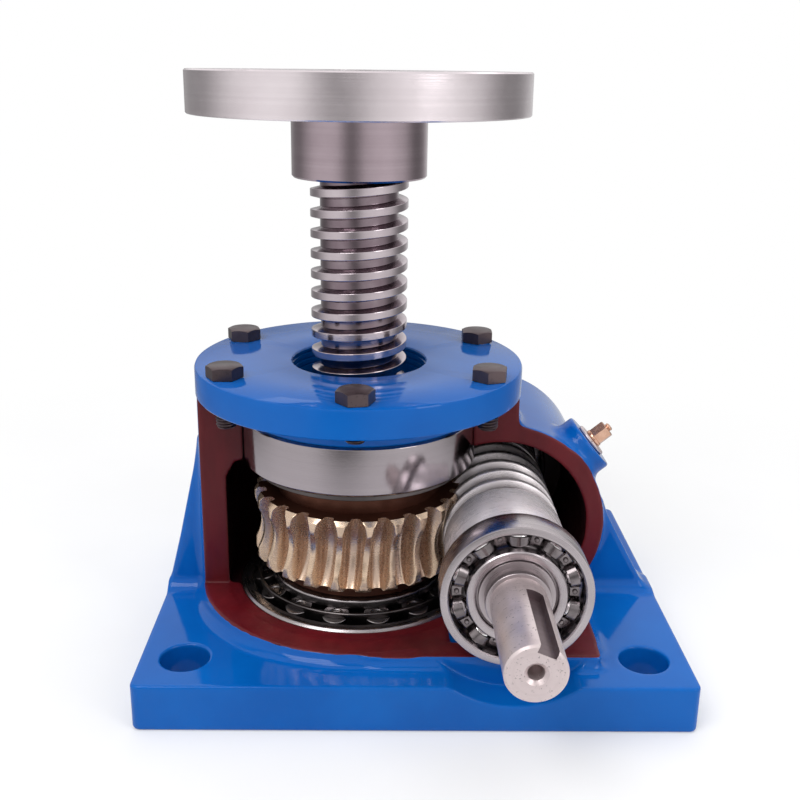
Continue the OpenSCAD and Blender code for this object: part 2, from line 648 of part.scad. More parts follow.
// ---------------------------------------------------------------- grease nipple
module nipple_washer() color(steel) at_boss() translate([0, 0, boss_face]) difference() {
  cylinder(r = 11, h = 2);
  translate([0, 0, -1]) cylinder(r = 5.05, h = 4);
}
module grease_nipple() color(bronze) at_boss() translate([0, 0, boss_face + 2]) {
  translate([0, 0, -12]) cylinder(r = 5, h = 12.5);
  cylinder(d = 14, h = 4, $fn = 6);
  translate([0, 0, 3.5]) cylinder(r = 5.2, h = 4.5);
  translate([0, 0, 7.5]) cylinder(r1 = 4.2, r2 = 3, h = 3);
  translate([0, 0, 10]) cylinder(r = 3.6, h = 2);
  translate([0, 0, 12]) cylinder(r1 = 3.6, r2 = 2.2, h = 2);
}

// ---------------------------------------------------------------- screw and plate
screw_low = 3;
journal_top = plate_top - 6;
screw_turns = floor((hub_low + 5 - screw_low - 8) / screw_lead * 2) / 2;
screw_from = screw_phase + screw_lead * ceil((screw_low + 5 - screw_phase) / screw_lead);
module lift_screw() color(steel)
  threaded_rod(screw_root_r, screw_r, screw_lead / 2 + 2 * (screw_mid_r - screw_root_r) * screw_tan,
    screw_lead / 2 - 2 * (screw_r - screw_mid_r) * screw_tan, screw_lead, screw_from, screw_turns,
    screw_low, journal_top, 24);
module head_plate() color(steel) difference() {
  union() {
    translate([0, 0, hub_low]) cylinder(r1 = hub_d / 2 - 1, r2 = hub_d / 2, h = 1);
    translate([0, 0, hub_low + 1]) cylinder(r = hub_d / 2, h = hub_h);
    translate([0, 0, plate_low]) cylinder(r1 = plate_d / 2 - 0.8, r2 = plate_d / 2, h = 0.8);
    translate([0, 0, plate_low + 0.8]) cylinder(r = plate_d / 2, h = plate_t - 1.6);
    translate([0, 0, plate_top - 0.8]) cylinder(r1 = plate_d / 2, r2 = plate_d / 2 - 0.8, h = 0.8);
  }
  translate([0, 0, hub_low - 1]) cylinder(r = screw_r + 0.4, h = 11);
  translate([0, 0, hub_low]) cylinder(r = screw_root_r + journal_gap, h = journal_top - hub_low);
  for (x = [-1, 1], y = [-1, 1]) translate([x * plate_hole_pitch / 2, y * plate_hole_pitch / 2, plate_low - 1])
    cylinder(r = plate_hole_d / 2, h = plate_t + 2);
  translate([0, 0, hub_low + 22]) bar_y(5.05, 0, hub_d);
}
module plate_set_screw() color(dark_steel) translate([0, 0, hub_low + 22]) difference() {
  bar_y(5, screw_root_r + 0.05, hub_d / 2 - 1.5);
  translate([0, hub_d / 2 - 5.5, 0]) rotate([-90, 0, 0]) cylinder(d = 5.8, h = 8, $fn = 6);
}

housing();
top_cover();
cover_bolts();
lower_cup();
lower_cone();
lower_rollers();
lower_cage();
upper_cup();
upper_cone();
upper_rollers();
upper_cage();
worm_wheel();
worm_shaft();
front_sleeve();
front_outer_ring();
front_inner_ring();
front_balls();
front_cage();
rear_sleeve();
rear_outer_ring();
rear_inner_ring();
rear_balls();
rear_cage();
rear_end_cover();
rear_cover_screws();
rear_shaft_seal();
grease_nipple();
nipple_washer();
lift_screw();
head_plate();
plate_set_screw();
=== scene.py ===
"""Cutaway worm screw jack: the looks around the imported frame.

Lengths are millimetres until scratch() and build_housing() turn them into metres. Only the
lamps and the camera are placed in metres.
The lift screw's axis is Z, the worm's axis is parallel to Y.
"""
import functools
import math

import bmesh
import bpy
import numpy as np
from mathutils import Matrix, Vector


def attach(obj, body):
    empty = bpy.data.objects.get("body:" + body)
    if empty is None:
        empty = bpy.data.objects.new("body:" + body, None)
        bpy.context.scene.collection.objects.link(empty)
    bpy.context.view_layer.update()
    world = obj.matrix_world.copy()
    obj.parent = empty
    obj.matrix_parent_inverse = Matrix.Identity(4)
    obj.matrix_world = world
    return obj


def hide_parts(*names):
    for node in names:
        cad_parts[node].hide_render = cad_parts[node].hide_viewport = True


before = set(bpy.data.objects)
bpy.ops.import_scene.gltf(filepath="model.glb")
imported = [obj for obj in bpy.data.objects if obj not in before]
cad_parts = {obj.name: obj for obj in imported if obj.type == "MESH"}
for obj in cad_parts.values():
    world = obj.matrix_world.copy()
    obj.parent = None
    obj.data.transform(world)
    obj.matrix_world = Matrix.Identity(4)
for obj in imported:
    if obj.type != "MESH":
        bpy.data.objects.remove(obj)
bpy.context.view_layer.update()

MM = 0.001
WORM_X, WORM_Z = 89.0, 77.5                    # the worm's axis
CUT_Y, FLOOR_Z = -16.0, 35.5                   # the two faces of the section
BASE_X, BASE_Y, BASE_T = 316.0, 244.0, 28.0
BASE_SHIFT = 34.5                              # from the screw's axis to the base's middle
BASE_HOLE_X, BASE_HOLE_Y, BASE_HOLE_R = 132.0, 92.0, 14.0
WALL_R, WALL_TOP = 99.5, 163.5                 # the round tower
BARREL_R, BARREL_HALF = 66.3, 102.0            # the barrel round the worm
RIB_HALF = 9.0
CAVITY_R, UPPER_SEAT_R, LOWER_SEAT_R, SCREW_HOLE_R = 83.5, 72.5, 76.0, 32.0
LOWER_SEAT_Z, UPPER_SEAT_Z = 6.0, 149.0        # where the tapered bearings' cups stand
NARROWS_Z = 108.3                              # the cavity narrows from here to the upper seat
CHAMBER_R, CHAMBER_FRONT, CHAMBER_REAR = 55.0, -86, 80    # inside the barrel, along Y
BALL_SEAT_R = 42.5                             # the ball bearings' seats in the barrel
COVER_TOP, COVER_BOLT_R = 181.5, 88.0
END_COVER_R, END_BOLT_R = 60.0, 52.0
PLATE_LOW, PLATE_HOLE = 327.0, 53.0            # its underside, and its holes from its middle lines
JOURNAL_R, SLEEVE_R = 22.5, 36.5               # the worm's shaft, and the sleeves on it
SHAFT_BORE_R = JOURNAL_R + 0.05                # the bore of the sleeves and inner rings
SLEEVE_END = 92.4                              # where the ball bearings' inner rings begin


# ---- mesh helpers
def shade(obj, angle=30.0):
    """Smooth shading with edges sharper than angle left crisp."""
    obj.data.shade_smooth()
    if angle is not None:
        obj.data.set_sharp_from_angle(angle=math.radians(angle))


def tidy_mesh(obj, merge=1e-6):
    """Merges doubled points, drops empty faces and turns all faces outwards."""
    bm = bmesh.new()
    bm.from_mesh(obj.data)
    bmesh.ops.remove_doubles(bm, verts=bm.verts, dist=merge)
    bmesh.ops.dissolve_degenerate(bm, edges=bm.edges, dist=merge)
    bmesh.ops.recalc_face_normals(bm, faces=bm.faces)
    bm.to_mesh(obj.data)
    bm.free()


def join_parts(parts):
    """One list of points and faces from several (verts, faces) pairs."""
    verts, faces, n = [], [], 0
    for v, f in parts:
        v = np.asarray(v, float)
        verts.append(v)
        faces += [tuple(i + n for i in face) for face in f]
        n += len(v)
    return np.concatenate(verts), faces


def moved(part, matrix):
    v, f = part
    m = np.array(matrix)
    return np.asarray(v, float) @ m[:3, :3].T + m[:3, 3], f


def polar(r, degrees, z=0.0):
    a = math.radians(degrees)
    return r * math.cos(a), r * math.sin(a), z


def ring_faces(a, b, n):
    """Faces between two closed rows of n points that start at a and b."""
    return [(a + j, a + (j + 1) % n, b + (j + 1) % n, b + j) for j in range(n)]


def softened(profile, size, steps=3, keep=()):
    """A closed profile whose corners are rounded off by size."""
    out = []
    n = len(profile)
    for i, p in enumerate(profile):
        p = np.array(p, float)
        a = np.array(profile[i - 1], float) - p
        b = np.array(profile[(i + 1) % n], float) - p
        la, lb = np.linalg.norm(a), np.linalg.norm(b)
        cos = a @ b / (la * lb)
        if i in keep or p[0] < 1e-6 or cos < -0.97:
            out.append(tuple(p))
            continue
        s = min(size, la * 0.45, lb * 0.45)
        p0, p1 = p + a / la * s, p + b / lb * s
        for k in range(steps + 1):
            t = k / steps
            out.append(tuple(p0 * (1 - t) ** 2 + 2 * p * t * (1 - t) + p1 * t ** 2))
    return out


def revolve(profile, n):
    """A closed profile of (radius, height) turned about Z."""
    m = len(profile)
    a = np.linspace(0, 2 * math.pi, n, endpoint=False)
    p = np.array(profile, float)
    verts = np.stack([np.outer(np.cos(a), p[:, 0]), np.outer(np.sin(a), p[:, 0]),
                      np.tile(p[:, 1], (n, 1))], -1).reshape(-1, 3)
    off_axis = [k for k in range(m) if max(p[k, 0], p[(k + 1) % m, 0]) > 1e-6]
    faces = []
    for i in range(n):
        j = (i + 1) % n
        faces += [(i * m + k, j * m + k, j * m + (k + 1) % m, i * m + (k + 1) % m)
                  for k in off_axis]
    return verts, faces


def turned(profile, size, n, keep=()):
    """A lathe part with softened corners."""
    return revolve(softened(profile, size, keep=keep), n)


def prism(outline, z0, z1):
    """An outline in XY raised from z0 to z1."""
    n = len(outline)
    verts = [(x, y, z) for z in (z0, z1) for x, y in outline]
    return verts, [tuple(range(n))[::-1], tuple(range(n, 2 * n))] + ring_faces(0, n, n)


def carve(obj, tools):
    """Cuts the tools out of obj and drops them."""
    for tool in tools:
        mod = obj.modifiers.new("carve", "BOOLEAN")
        mod.operation = "DIFFERENCE"
        mod.solver = "EXACT"
        mod.object = tool
        seen = obj.evaluated_get(bpy.context.evaluated_depsgraph_get())
        old, obj.data = obj.data, bpy.data.meshes.new_from_object(seen)
        obj.modifiers.clear()
        bpy.data.meshes.remove(old)
        bpy.data.objects.remove(tool)


def add_object(name, data):
    obj = bpy.data.objects.new(name, data)
    bpy.context.scene.collection.objects.link(obj)
    return obj


def scratch(name, part, matrix=None):
    """A loose mesh object from points in mm: a piece before its finish, or a cutting tool."""
    verts, faces = part if matrix is None else moved(part, matrix)
    mesh = bpy.data.meshes.new(name)
    mesh.from_pydata((np.asarray(verts, float) * MM).tolist(), [], [tuple(f) for f in faces])
    mesh.validate()
    obj = add_object(name, mesh)
    tidy_mesh(obj)
    return obj


def settle(obj, body, node=None):
    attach(obj, body)
    if node:
        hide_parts(node)


def new_piece(name, part, material, body, node=None, angle=30.0, matrix=None, cut=()):
    """A finished piece that rides on a body and stands for a node, with the tools cut out of it."""
    obj = scratch(name, part, matrix)
    if cut:
        carve(obj, cut)
        tidy_mesh(obj)
    obj.data.materials.append(material)
    shade(obj, angle)
    settle(obj, body, node)
    return obj


def paint_faces(obj, material, test):
    """Gives the faces that pass the test a second material."""
    obj.data.materials.append(material)
    for face in obj.data.polygons:
        if test(face):
            face.material_index = 1


def turn(axis, degrees):
    return Matrix.Rotation(math.radians(degrees), 4, axis)


def move(x, y, z):
    return Matrix.Translation((x, y, z))


AT_WORM = move(WORM_X, 0, WORM_Z)
TO_REAR = AT_WORM @ turn("X", -90)       # local Z runs along +Y from the worm's middle
TO_FRONT = AT_WORM @ turn("X", 90)       # local Z runs along -Y from the worm's middle
ENDS = (("front", TO_FRONT), ("rear", TO_REAR))


# ---- materials
class Nodes:
    """Adds nodes to a material's or the world's tree."""

    def __init__(self, tree):
        self.tree = tree

    def link(self, a, b):
        self.tree.links.new(a, b)

    def node(self, kind, inputs=(), **settings):
        n = self.tree.nodes.new("ShaderNode" + kind)
        for key, value in settings.items():
            setattr(n, key, value)
        for key, value in dict(inputs).items():
            self.set(n.inputs[key], value)
        return n

    def set(self, socket, value):
        """Links another node's output to the socket, or sets a number or a colour."""
        if hasattr(value, "links"):
            self.link(value, socket)
        else:
            is_rgb = isinstance(value, tuple) and socket.type == "RGBA" and len(value) == 3
            socket.default_value = value + (1.0,) if is_rgb else value

    def math(self, operation, a, b=0.0):
        return self.node("Math", {0: a, 1: b}, operation=operation).outputs[0]

    def noise(self, scale, detail, rough=0.55, vector=None, stretch=None):
        """Noise whose scale is in waves for each metre."""
        vec = vector or self.coords
        if stretch:
            vec = self.node("Mapping", {"Vector": vec, "Scale": stretch}).outputs[0]
        return self.node("TexNoise", {"Vector": vec, "Scale": scale, "Detail": detail,
                                      "Roughness": rough}).outputs[0]

    def map(self, value, a, b, c, d):
        return self.node("MapRange", {0: value, 1: a, 2: b, 3: c, 4: d}).outputs[0]

    def step(self, value, low, high):
        """Rises smoothly from 0 at low to 1 at high."""
        return self.node("MapRange", {0: value, 1: low, 2: high},
                         interpolation_type="SMOOTHSTEP").outputs[0]

    def mix(self, factor, a, b):
        return self.node("Mix", {0: factor, 6: a, 7: b}, data_type="RGBA").outputs[2]

    def bump(self, height, distance, strength, below=None):
        n = self.node("Bump", {"Height": height, "Distance": distance, "Strength": strength})
        if below is not None:
            self.link(below, n.inputs["Normal"])
        return n.outputs[0]


class Shader(Nodes):
    """Builds one procedural material, node by node."""

    def __init__(self, name):
        self.mat = bpy.data.materials.new(name)
        self.mat.use_nodes = True
        super().__init__(self.mat.node_tree)
        self.bsdf = self.tree.nodes["Principled BSDF"]
        self.coords = self.node("TexCoord").outputs["Object"]

    def finish(self, **values):
        for key, value in values.items():
            self.set(self.bsdf.inputs[key.replace("_", " ")], value)
        return self.mat


def enamel(name):
    """Thick glossy paint over cast iron."""
    s = Shader(name)
    cloud = s.noise(14, 4)
    fine = s.noise(220, 2)
    base = s.mix(s.map(cloud, 0.35, 0.7, 0, 1), (0.0010, 0.097, 0.410), (0.0018, 0.126, 0.490))
    base = s.mix(s.map(s.noise(900, 2), 0.66, 0.8, 0, 0.2), base, (0.01, 0.2, 0.65))
    rough = s.map(s.noise(40, 5), 0.3, 0.75, 0.05, 0.13)
    wave = s.bump(s.noise(48, 2, 0.4), 0.0006, 0.16)
    grain = s.bump(fine, 0.00012, 0.1, wave)
    return s.finish(Base_Color=base, Roughness=rough, Normal=grain, Specular_IOR_Level=0.22)


def cut_paint(name, light, shadow):
    """Dark paint brushed on the sectioned faces, and a near-black copy of it that is painted shade
    inside.
    """
    s = Shader(name)
    strokes = s.noise(30, 5, 0.6, stretch=(1, 1, 0.25))
    base = s.mix(s.map(strokes, 0.35, 0.68, 0, 1), light, shadow)
    rough = s.map(s.noise(70, 4), 0.3, 0.75, 0.28, 0.55)
    wave = s.bump(s.noise(90, 3), 0.0006, 0.35)
    grain = s.bump(s.noise(650, 2), 0.00012, 0.4, wave)
    return s.finish(Base_Color=base, Roughness=rough, Normal=grain, Specular_IOR_Level=0.28)


def metal(name, light, shadow, rough, axis=None, pitch=2600, marks=0.25, stain=30, specks=0.0,
          anisotropic=0.0, metallic=1.0, hollow_shade=None, cloudy=0.6, grain=0.25):
    """Machined metal, with lathe marks round the screw's axis 'Z' or the worm's axis 'Y'.

    The hollow shade, (inner radius, outer radius, colour), is painted shade: it darkens what lies
    deeper than outer, in mm.
    """
    s = Shader(name)
    cloud = s.noise(stain, 5, 0.6)
    base = s.mix(s.map(cloud, 0.32, 0.72, 0, cloudy), light, shadow)
    rough_out = s.map(s.noise(stain * 2.5, 4), 0.3, 0.75, *rough)
    normal = None
    if axis:
        centre = WORM_AXIS if axis == "Y" else (0, 0, 0)
        shifted = s.node("VectorMath", {0: s.coords, 1: centre}, operation="SUBTRACT").outputs[0]
        xyz = s.node("SeparateXYZ", {0: shifted}).outputs
        a, b = xyz["X"], xyz["Z" if axis == "Y" else "Y"]
        radius = s.math("SQRT", s.math("ADD", s.math("MULTIPLY", a, a), s.math("MULTIPLY", b, b)))
        rings = s.node("CombineXYZ", {0: radius, 1: xyz[axis], 2: 0.0}).outputs[0]
        fine = s.noise(pitch, 2, 0.6, vector=rings)
        broad = s.noise(pitch * 0.12, 3, 0.6, vector=rings)
        rough_out = s.math("ADD", rough_out, s.map(fine, 0.3, 0.7, -0.05, 0.05))
        base = s.mix(s.map(broad, 0.3, 0.7, 0, 0.3), base, shadow)
        normal = s.bump(fine, 0.00006, marks)
        if hollow_shade:
            # Painted shade: radii below the outer one blend towards the dark colour, fully at the inner
            # one.
            deep = s.map(radius, hollow_shade[0] * MM, hollow_shade[1] * MM, 1, 0)
            base = s.mix(s.math("MULTIPLY", deep, s.map(s.noise(60, 4), 0.2, 0.6, 0.7, 1)),
                         base, hollow_shade[2])
    if specks:
        base = s.mix(s.map(s.noise(700, 3), 0.62, 0.72, 0, specks), base,
                     tuple(c * 0.25 for c in shadow))
    normal = s.bump(s.noise(420, 3), 0.00008, grain, normal)
    return s.finish(Base_Color=base, Metallic=metallic, Roughness=rough_out, Normal=normal,
                    Anisotropic=anisotropic)


def rubber(name):
    s = Shader(name)
    base = s.mix(s.map(s.noise(120, 3), 0.3, 0.7, 0, 1), (0.012, 0.012, 0.012),
                 (0.03, 0.03, 0.03))
    return s.finish(Base_Color=base, Roughness=s.map(s.noise(90, 3), 0.3, 0.7, 0.5, 0.7),
                    Normal=s.bump(s.noise(900, 2), 0.00008, 0.4))


BLUE = enamel("blue_enamel")
RED = cut_paint("cut_paint", (0.130, 0.0070, 0.0115), (0.066, 0.0040, 0.0070))
# A near-black copy of the cut paint: painted shade on the housing's inside faces.
SHADED_RED = cut_paint("inside_painted_shade", (0.022, 0.002, 0.003), (0.006, 0.001, 0.002))
WORM_AXIS = (WORM_X * MM, 0, WORM_Z * MM)
PLATE_STEEL = metal("plate_steel", (0.84, 0.765, 0.79), (0.62, 0.54, 0.57), (0.17, 0.26), "Z",
                    marks=0.3, anisotropic=0.3, cloudy=0.4)
# A darker copy of the plate's steel: painted shade under the head plate and on the screw's ends.
SHADED_STEEL = metal("shaded_steel", (0.46, 0.375, 0.41), (0.30, 0.23, 0.26), (0.11, 0.18), "Z",
                  marks=0.35, cloudy=0.4)
# The thread roots below 28.2 mm get painted shade.
SCREW_STEEL = metal("screw_steel", (0.62, 0.55, 0.58), (0.40, 0.33, 0.36), (0.12, 0.22), "Z",
                    pitch=1500, hollow_shade=(24.0, 28.2, (0.22, 0.165, 0.19)))
# The grooves between the thread turns get a near-black painted shade.
WORM_STEEL = metal("worm_steel", (0.84, 0.78, 0.79), (0.62, 0.56, 0.58), (0.24, 0.38), "Y",
                   marks=0.2, metallic=0.6, hollow_shade=(32.0, 36.2, (0.07, 0.055, 0.06)))
SLEEVE_STEEL = metal("sleeve_steel", (0.92, 0.86, 0.88), (0.80, 0.73, 0.75), (0.24, 0.34), "Y",
                     marks=0.2, metallic=0.42)
JOURNAL_STEEL = metal("journal_steel", (0.46, 0.41, 0.42), (0.33, 0.285, 0.295), (0.26, 0.4),
                      "Y", marks=0.4)
SHAFT_STEEL = metal("shaft_steel", (0.76, 0.66, 0.66), (0.50, 0.41, 0.41), (0.30, 0.48), "Y",
                    marks=0.5, specks=0.75, metallic=0.72)
# A darker copy of the shaft steel: painted shade in the keyways.
SLOT_SHADE_STEEL = metal("slot_shade_steel", (0.30, 0.24, 0.25), (0.15, 0.11, 0.12), (0.3, 0.5), "Y",
                   metallic=0.9)
RING_STEEL = metal("ring_steel", (0.50, 0.455, 0.47), (0.34, 0.30, 0.315), (0.22, 0.34), "Y",
                   marks=0.15)
CUP_STEEL = metal("cup_steel", (0.38, 0.34, 0.36), (0.29, 0.255, 0.27), (0.12, 0.18), "Z",
                  marks=0.15, stain=14, cloudy=0.3)
RIM_STEEL = metal("rim_steel", (0.40, 0.37, 0.375), (0.24, 0.215, 0.22), (0.24, 0.36), "Z")
ROLLER_STEEL = metal("roller_steel", (0.26, 0.24, 0.24), (0.10, 0.085, 0.085), (0.2, 0.4))
DARK_STEEL = metal("dark_steel", (0.13, 0.115, 0.115), (0.045, 0.04, 0.04), (0.25, 0.45))
CAGE_STEEL = metal("cage_steel", (0.30, 0.265, 0.27), (0.10, 0.085, 0.09), (0.14, 0.26), "Y",
                   marks=0.1, stain=90, cloudy=1.0)
BOLT_STEEL = metal("bolt_steel", (0.14, 0.105, 0.11), (0.05, 0.038, 0.042), (0.28, 0.5),
                   specks=0.4)
BALL_STEEL = metal("ball_steel", (0.80, 0.78, 0.78), (0.62, 0.60, 0.60), (0.06, 0.12))
# The floors of the tooth spaces get a darker painted shade.
BRONZE = metal("bronze", (0.72, 0.545, 0.405), (0.55, 0.39, 0.27), (0.22, 0.34), "Z",
               pitch=900, marks=0.04, metallic=0.82, grain=0.05,
               hollow_shade=(54.5, 62.5, (0.58, 0.435, 0.345)))
# A dark red-brown copy of the bronze: painted shade on the wheel's hub and the rim's end faces.
SHADED_BRONZE = metal("shaded_bronze", (0.135, 0.050, 0.030), (0.055, 0.022, 0.015), (0.35, 0.5), "Z",
                   pitch=900, metallic=0.8)
BRASS = metal("brass", (0.78, 0.50, 0.37), (0.50, 0.27, 0.18), (0.16, 0.30), stain=120,
              cloudy=0.8)
RUBBER = rubber("seal_rubber")


# ---- cast housing
def round_or(a, b, r):
    """Two solids joined with a fillet of radius r, both given as distance fields."""
    return np.maximum(r, np.minimum(a, b)) - np.hypot(np.maximum(r - a, 0), np.maximum(r - b, 0))


def round_and(a, b, r):
    """What two solids share, with its new edge rounded to radius r."""
    return np.minimum(-r, np.maximum(a, b)) + np.hypot(np.maximum(r + a, 0), np.maximum(r + b, 0))


def without(a, b, r):
    """Solid a with b cut out of it and the new edge rounded."""
    return round_and(a, -b, r)


def both(*solids):
    """What all the solids share, with sharp edges."""
    return functools.reduce(np.maximum, solids)


def either(*solids):
    """All the solids together, with sharp edges."""
    return functools.reduce(np.minimum, solids)


def rectangle(x, y, half_x, half_y, r):
    """Distance to a rectangle with rounded corners."""
    u, v = np.abs(x) - half_x + r, np.abs(y) - half_y + r
    return np.hypot(np.maximum(u, 0), np.maximum(v, 0)) + np.minimum(np.maximum(u, v), 0) - r


def polygon(x, z, points):
    """Distance to a polygon in the XZ plane."""
    p = np.array(points, float)
    x, z = np.broadcast_arrays(x, z)
    d = np.full(x.shape, 1e9)
    inside = np.zeros(x.shape, bool)
    for i in range(len(p)):
        a, b = p[i - 1], p[i]
        e = b - a
        t = np.clip(((x - a[0]) * e[0] + (z - a[1]) * e[1]) / (e @ e), 0, 1)
        d = np.minimum(d, np.hypot(x - a[0] - t * e[0], z - a[1] - t * e[1]))
        if e[1]:
            inside ^= ((a[1] > z) != (b[1] > z)) & (x < a[0] + (z - a[1]) * e[0] / e[1])
    return np.where(inside, -d, d)


FOOT_X = WORM_X + math.sqrt(BARREL_R ** 2 - (WORM_Z - FLOOR_Z) ** 2)
BASE_LEFT, BASE_RIGHT = BASE_SHIFT - BASE_X / 2, BASE_SHIFT + BASE_X / 2
LEFT_RIB = [(-WALL_R + 14, 20), (BASE_LEFT + 0.5, 20), (BASE_LEFT + 0.5, BASE_T + 2),
            (-WALL_R - 14.7, BASE_T + 37), (-WALL_R - 5.8, BASE_T + 76.6),
            (-WALL_R + 0.5, BASE_T + 102), (-WALL_R + 14, BASE_T + 102)]
RIGHT_RIB = [(FOOT_X - 20, 20), (BASE_RIGHT - 3, 20), (BASE_RIGHT - 4.7, BASE_T + 0.2),
             (WORM_X + BARREL_R + 13, BASE_T + 35.8), (WORM_X + BARREL_R - 1, BASE_T + 62),
             (FOOT_X - 20, BASE_T + 62)]
BOSS_ANGLE, BOSS_Y, BOSS_R, BOSS_FACE = 40.0, 5.0, 19.0, BARREL_R + 9.7
# INSIDE faces take the near-black copy of the cut paint, which is painted shade.
ENAMELLED, CUT_FACE, INSIDE = 0, 1, 2


def casting(x, y, z):
    """Distance field of the sectioned housing, in mm. Coordinates may be broadcast."""
    x, y, z = (np.asarray(v, np.float32) for v in (x, y, z))
    r = np.hypot(x, y)
    w = np.hypot(x - WORM_X, z - WORM_Z)
    outline = rectangle(x - BASE_SHIFT, y, BASE_X / 2, BASE_Y / 2, 5)
    slab = round_and(outline, np.abs(z - BASE_T / 2) - BASE_T / 2, 1.8)
    wall = round_and(r - WALL_R, z - WALL_TOP, 0.8)
    foot = round_and(rectangle(x - FOOT_X / 2, y, FOOT_X / 2, BARREL_HALF, 20), z - FLOOR_Z - 9, 1)
    foot = both(foot, np.where(z < FLOOR_Z, -1e3, w - BARREL_R))
    barrel = round_and(w - BARREL_R, np.abs(y) - BARREL_HALF, 1.2)
    tower = round_or(wall, either(barrel, foot), 7)
    a = math.radians(BOSS_ANGLE)
    out = (x - WORM_X) * math.cos(a) + (z - WORM_Z) * math.sin(a)
    side = (z - WORM_Z) * math.cos(a) - (x - WORM_X) * math.sin(a)
    boss = round_and(np.hypot(side, y - BOSS_Y) - BOSS_R, out - BOSS_FACE, 1.5)
    tower = round_or(tower, both(boss, 40 - out), 5)
    tower = round_and(tower, np.abs(y) - BARREL_HALF, 1.0)
    ribs = either(*(round_and(polygon(x, z, rib), np.abs(y) - RIB_HALF, 2.5)
                    for rib in (LEFT_RIB, RIGHT_RIB)))
    tower = round_or(tower, ribs, 6)
    body = round_or(tower, slab, 9.5)
    body = round_and(body, outline, 0.6)
    body = both(body, -z)
    holes = np.hypot(np.abs(x - BASE_SHIFT) - BASE_HOLE_X, np.abs(y) - BASE_HOLE_Y) - BASE_HOLE_R
    body = without(body, holes, 1.2)
    body = without(body, both(w - END_COVER_R - 1, BARREL_HALF - np.abs(y)), 1.5)
    body = without(body, both(y - CUT_Y, FLOOR_Z - z), 1.1)
    rise, run, along = 10.7, 5.5, 12.03          # the slope on which the cavity narrows
    cone = ((r - CAVITY_R) * rise + (z - NARROWS_Z) * run) / along
    cavity = either(both(r - CAVITY_R, cone, FLOOR_Z - z, z - 119),
                    both(r - UPPER_SEAT_R, 117 - z),
                    both(r - LOWER_SEAT_R, LOWER_SEAT_Z - z, z - 60),
                    both(r - SCREW_HOLE_R, z - 20))
    chamber = either(both(w - CHAMBER_R, y - CHAMBER_REAR, CHAMBER_FRONT - y),
                     both(w - BALL_SEAT_R, FLOOR_Z - 0.4 - z))
    return without(body, either(cavity, chamber), 1.0)


def net_of_field(field, low, high, step):
    """A closed quad mesh of the surface where field is 0, one point for each crossed cell."""
    axes = [np.arange(a, b + step, step, dtype=np.float32) for a, b in zip(low, high)]
    f = field(axes[0][:, None, None], axes[1][None, :, None], axes[2][None, None, :])
    f = np.where(np.abs(f) < 1e-4, np.float32(1e-4), f)
    inside = f < 0
    n = [len(a) - 1 for a in axes]
    corner = [(i, j, k) for i in (0, 1) for j in (0, 1) for k in (0, 1)]
    count = sum(inside[i:i + n[0], j:j + n[1], k:k + n[2]].astype(np.int8) for i, j, k in corner)
    cells = np.argwhere((count > 0) & (count < 8))
    index = np.full(n, -1, np.int32)
    index[tuple(cells.T)] = np.arange(len(cells))
    values = np.stack([f[tuple((cells + c).T)] for c in corner], 1)
    total, crossings = np.zeros((len(cells), 3)), np.zeros(len(cells))
    for a in range(8):
        for b in range(a + 1, 8):
            d = np.subtract(corner[b], corner[a])
            if np.abs(d).sum() != 1:
                continue
            hit = (values[:, a] < 0) != (values[:, b] < 0)
            t = values[hit, a] / (values[hit, a] - values[hit, b])
            total[hit] += np.array(corner[a]) + t[:, None] * d
            crossings[hit] += 1
    points = (cells + total / crossings[:, None]) * step + np.array([a[0] for a in axes])
    quads, unit = [], np.eye(3, dtype=int)
    for axis in range(3):
        u, v = [(1, 2), (2, 0), (0, 1)][axis]
        s0 = [slice(1, -1)] * 3
        s0[axis] = slice(0, -1)
        s1 = list(s0)
        s1[axis] = slice(1, None)
        a, b = inside[tuple(s0)], inside[tuple(s1)]
        for flip, cross in ((False, a & ~b), (True, ~a & b)):
            at = np.argwhere(cross)
            q = np.stack([index[tuple((at + du * unit[u] + dv * unit[v]).T)]
                          for du, dv in ((0, 0), (1, 0), (1, 1), (0, 1))], 1)
            quads.append(q[:, ::-1] if flip else q)
    return points, np.concatenate(quads)


def even_paint_line(points, quads, kind, passes=12):
    """Draws the points between faces of different kinds into a smooth line."""
    ends = np.concatenate([quads[:, [k, (k + 1) % 4]] for k in range(4)])
    ends.sort(axis=1)
    face = np.tile(kind, 4)
    order = np.lexsort((ends[:, 1], ends[:, 0]))
    ends, face = ends[order], face[order]
    line = np.flatnonzero((ends[:-1] == ends[1:]).all(1) & (face[:-1] != face[1:]))
    a, b = ends[line].T
    links = np.bincount(np.concatenate([a, b]), minlength=len(points))
    free = links == 2
    for _ in range(passes):
        total = np.zeros_like(points)
        np.add.at(total, a, points[b])
        np.add.at(total, b, points[a])
        points[free] = (points[free] + total[free] / 2) / 2


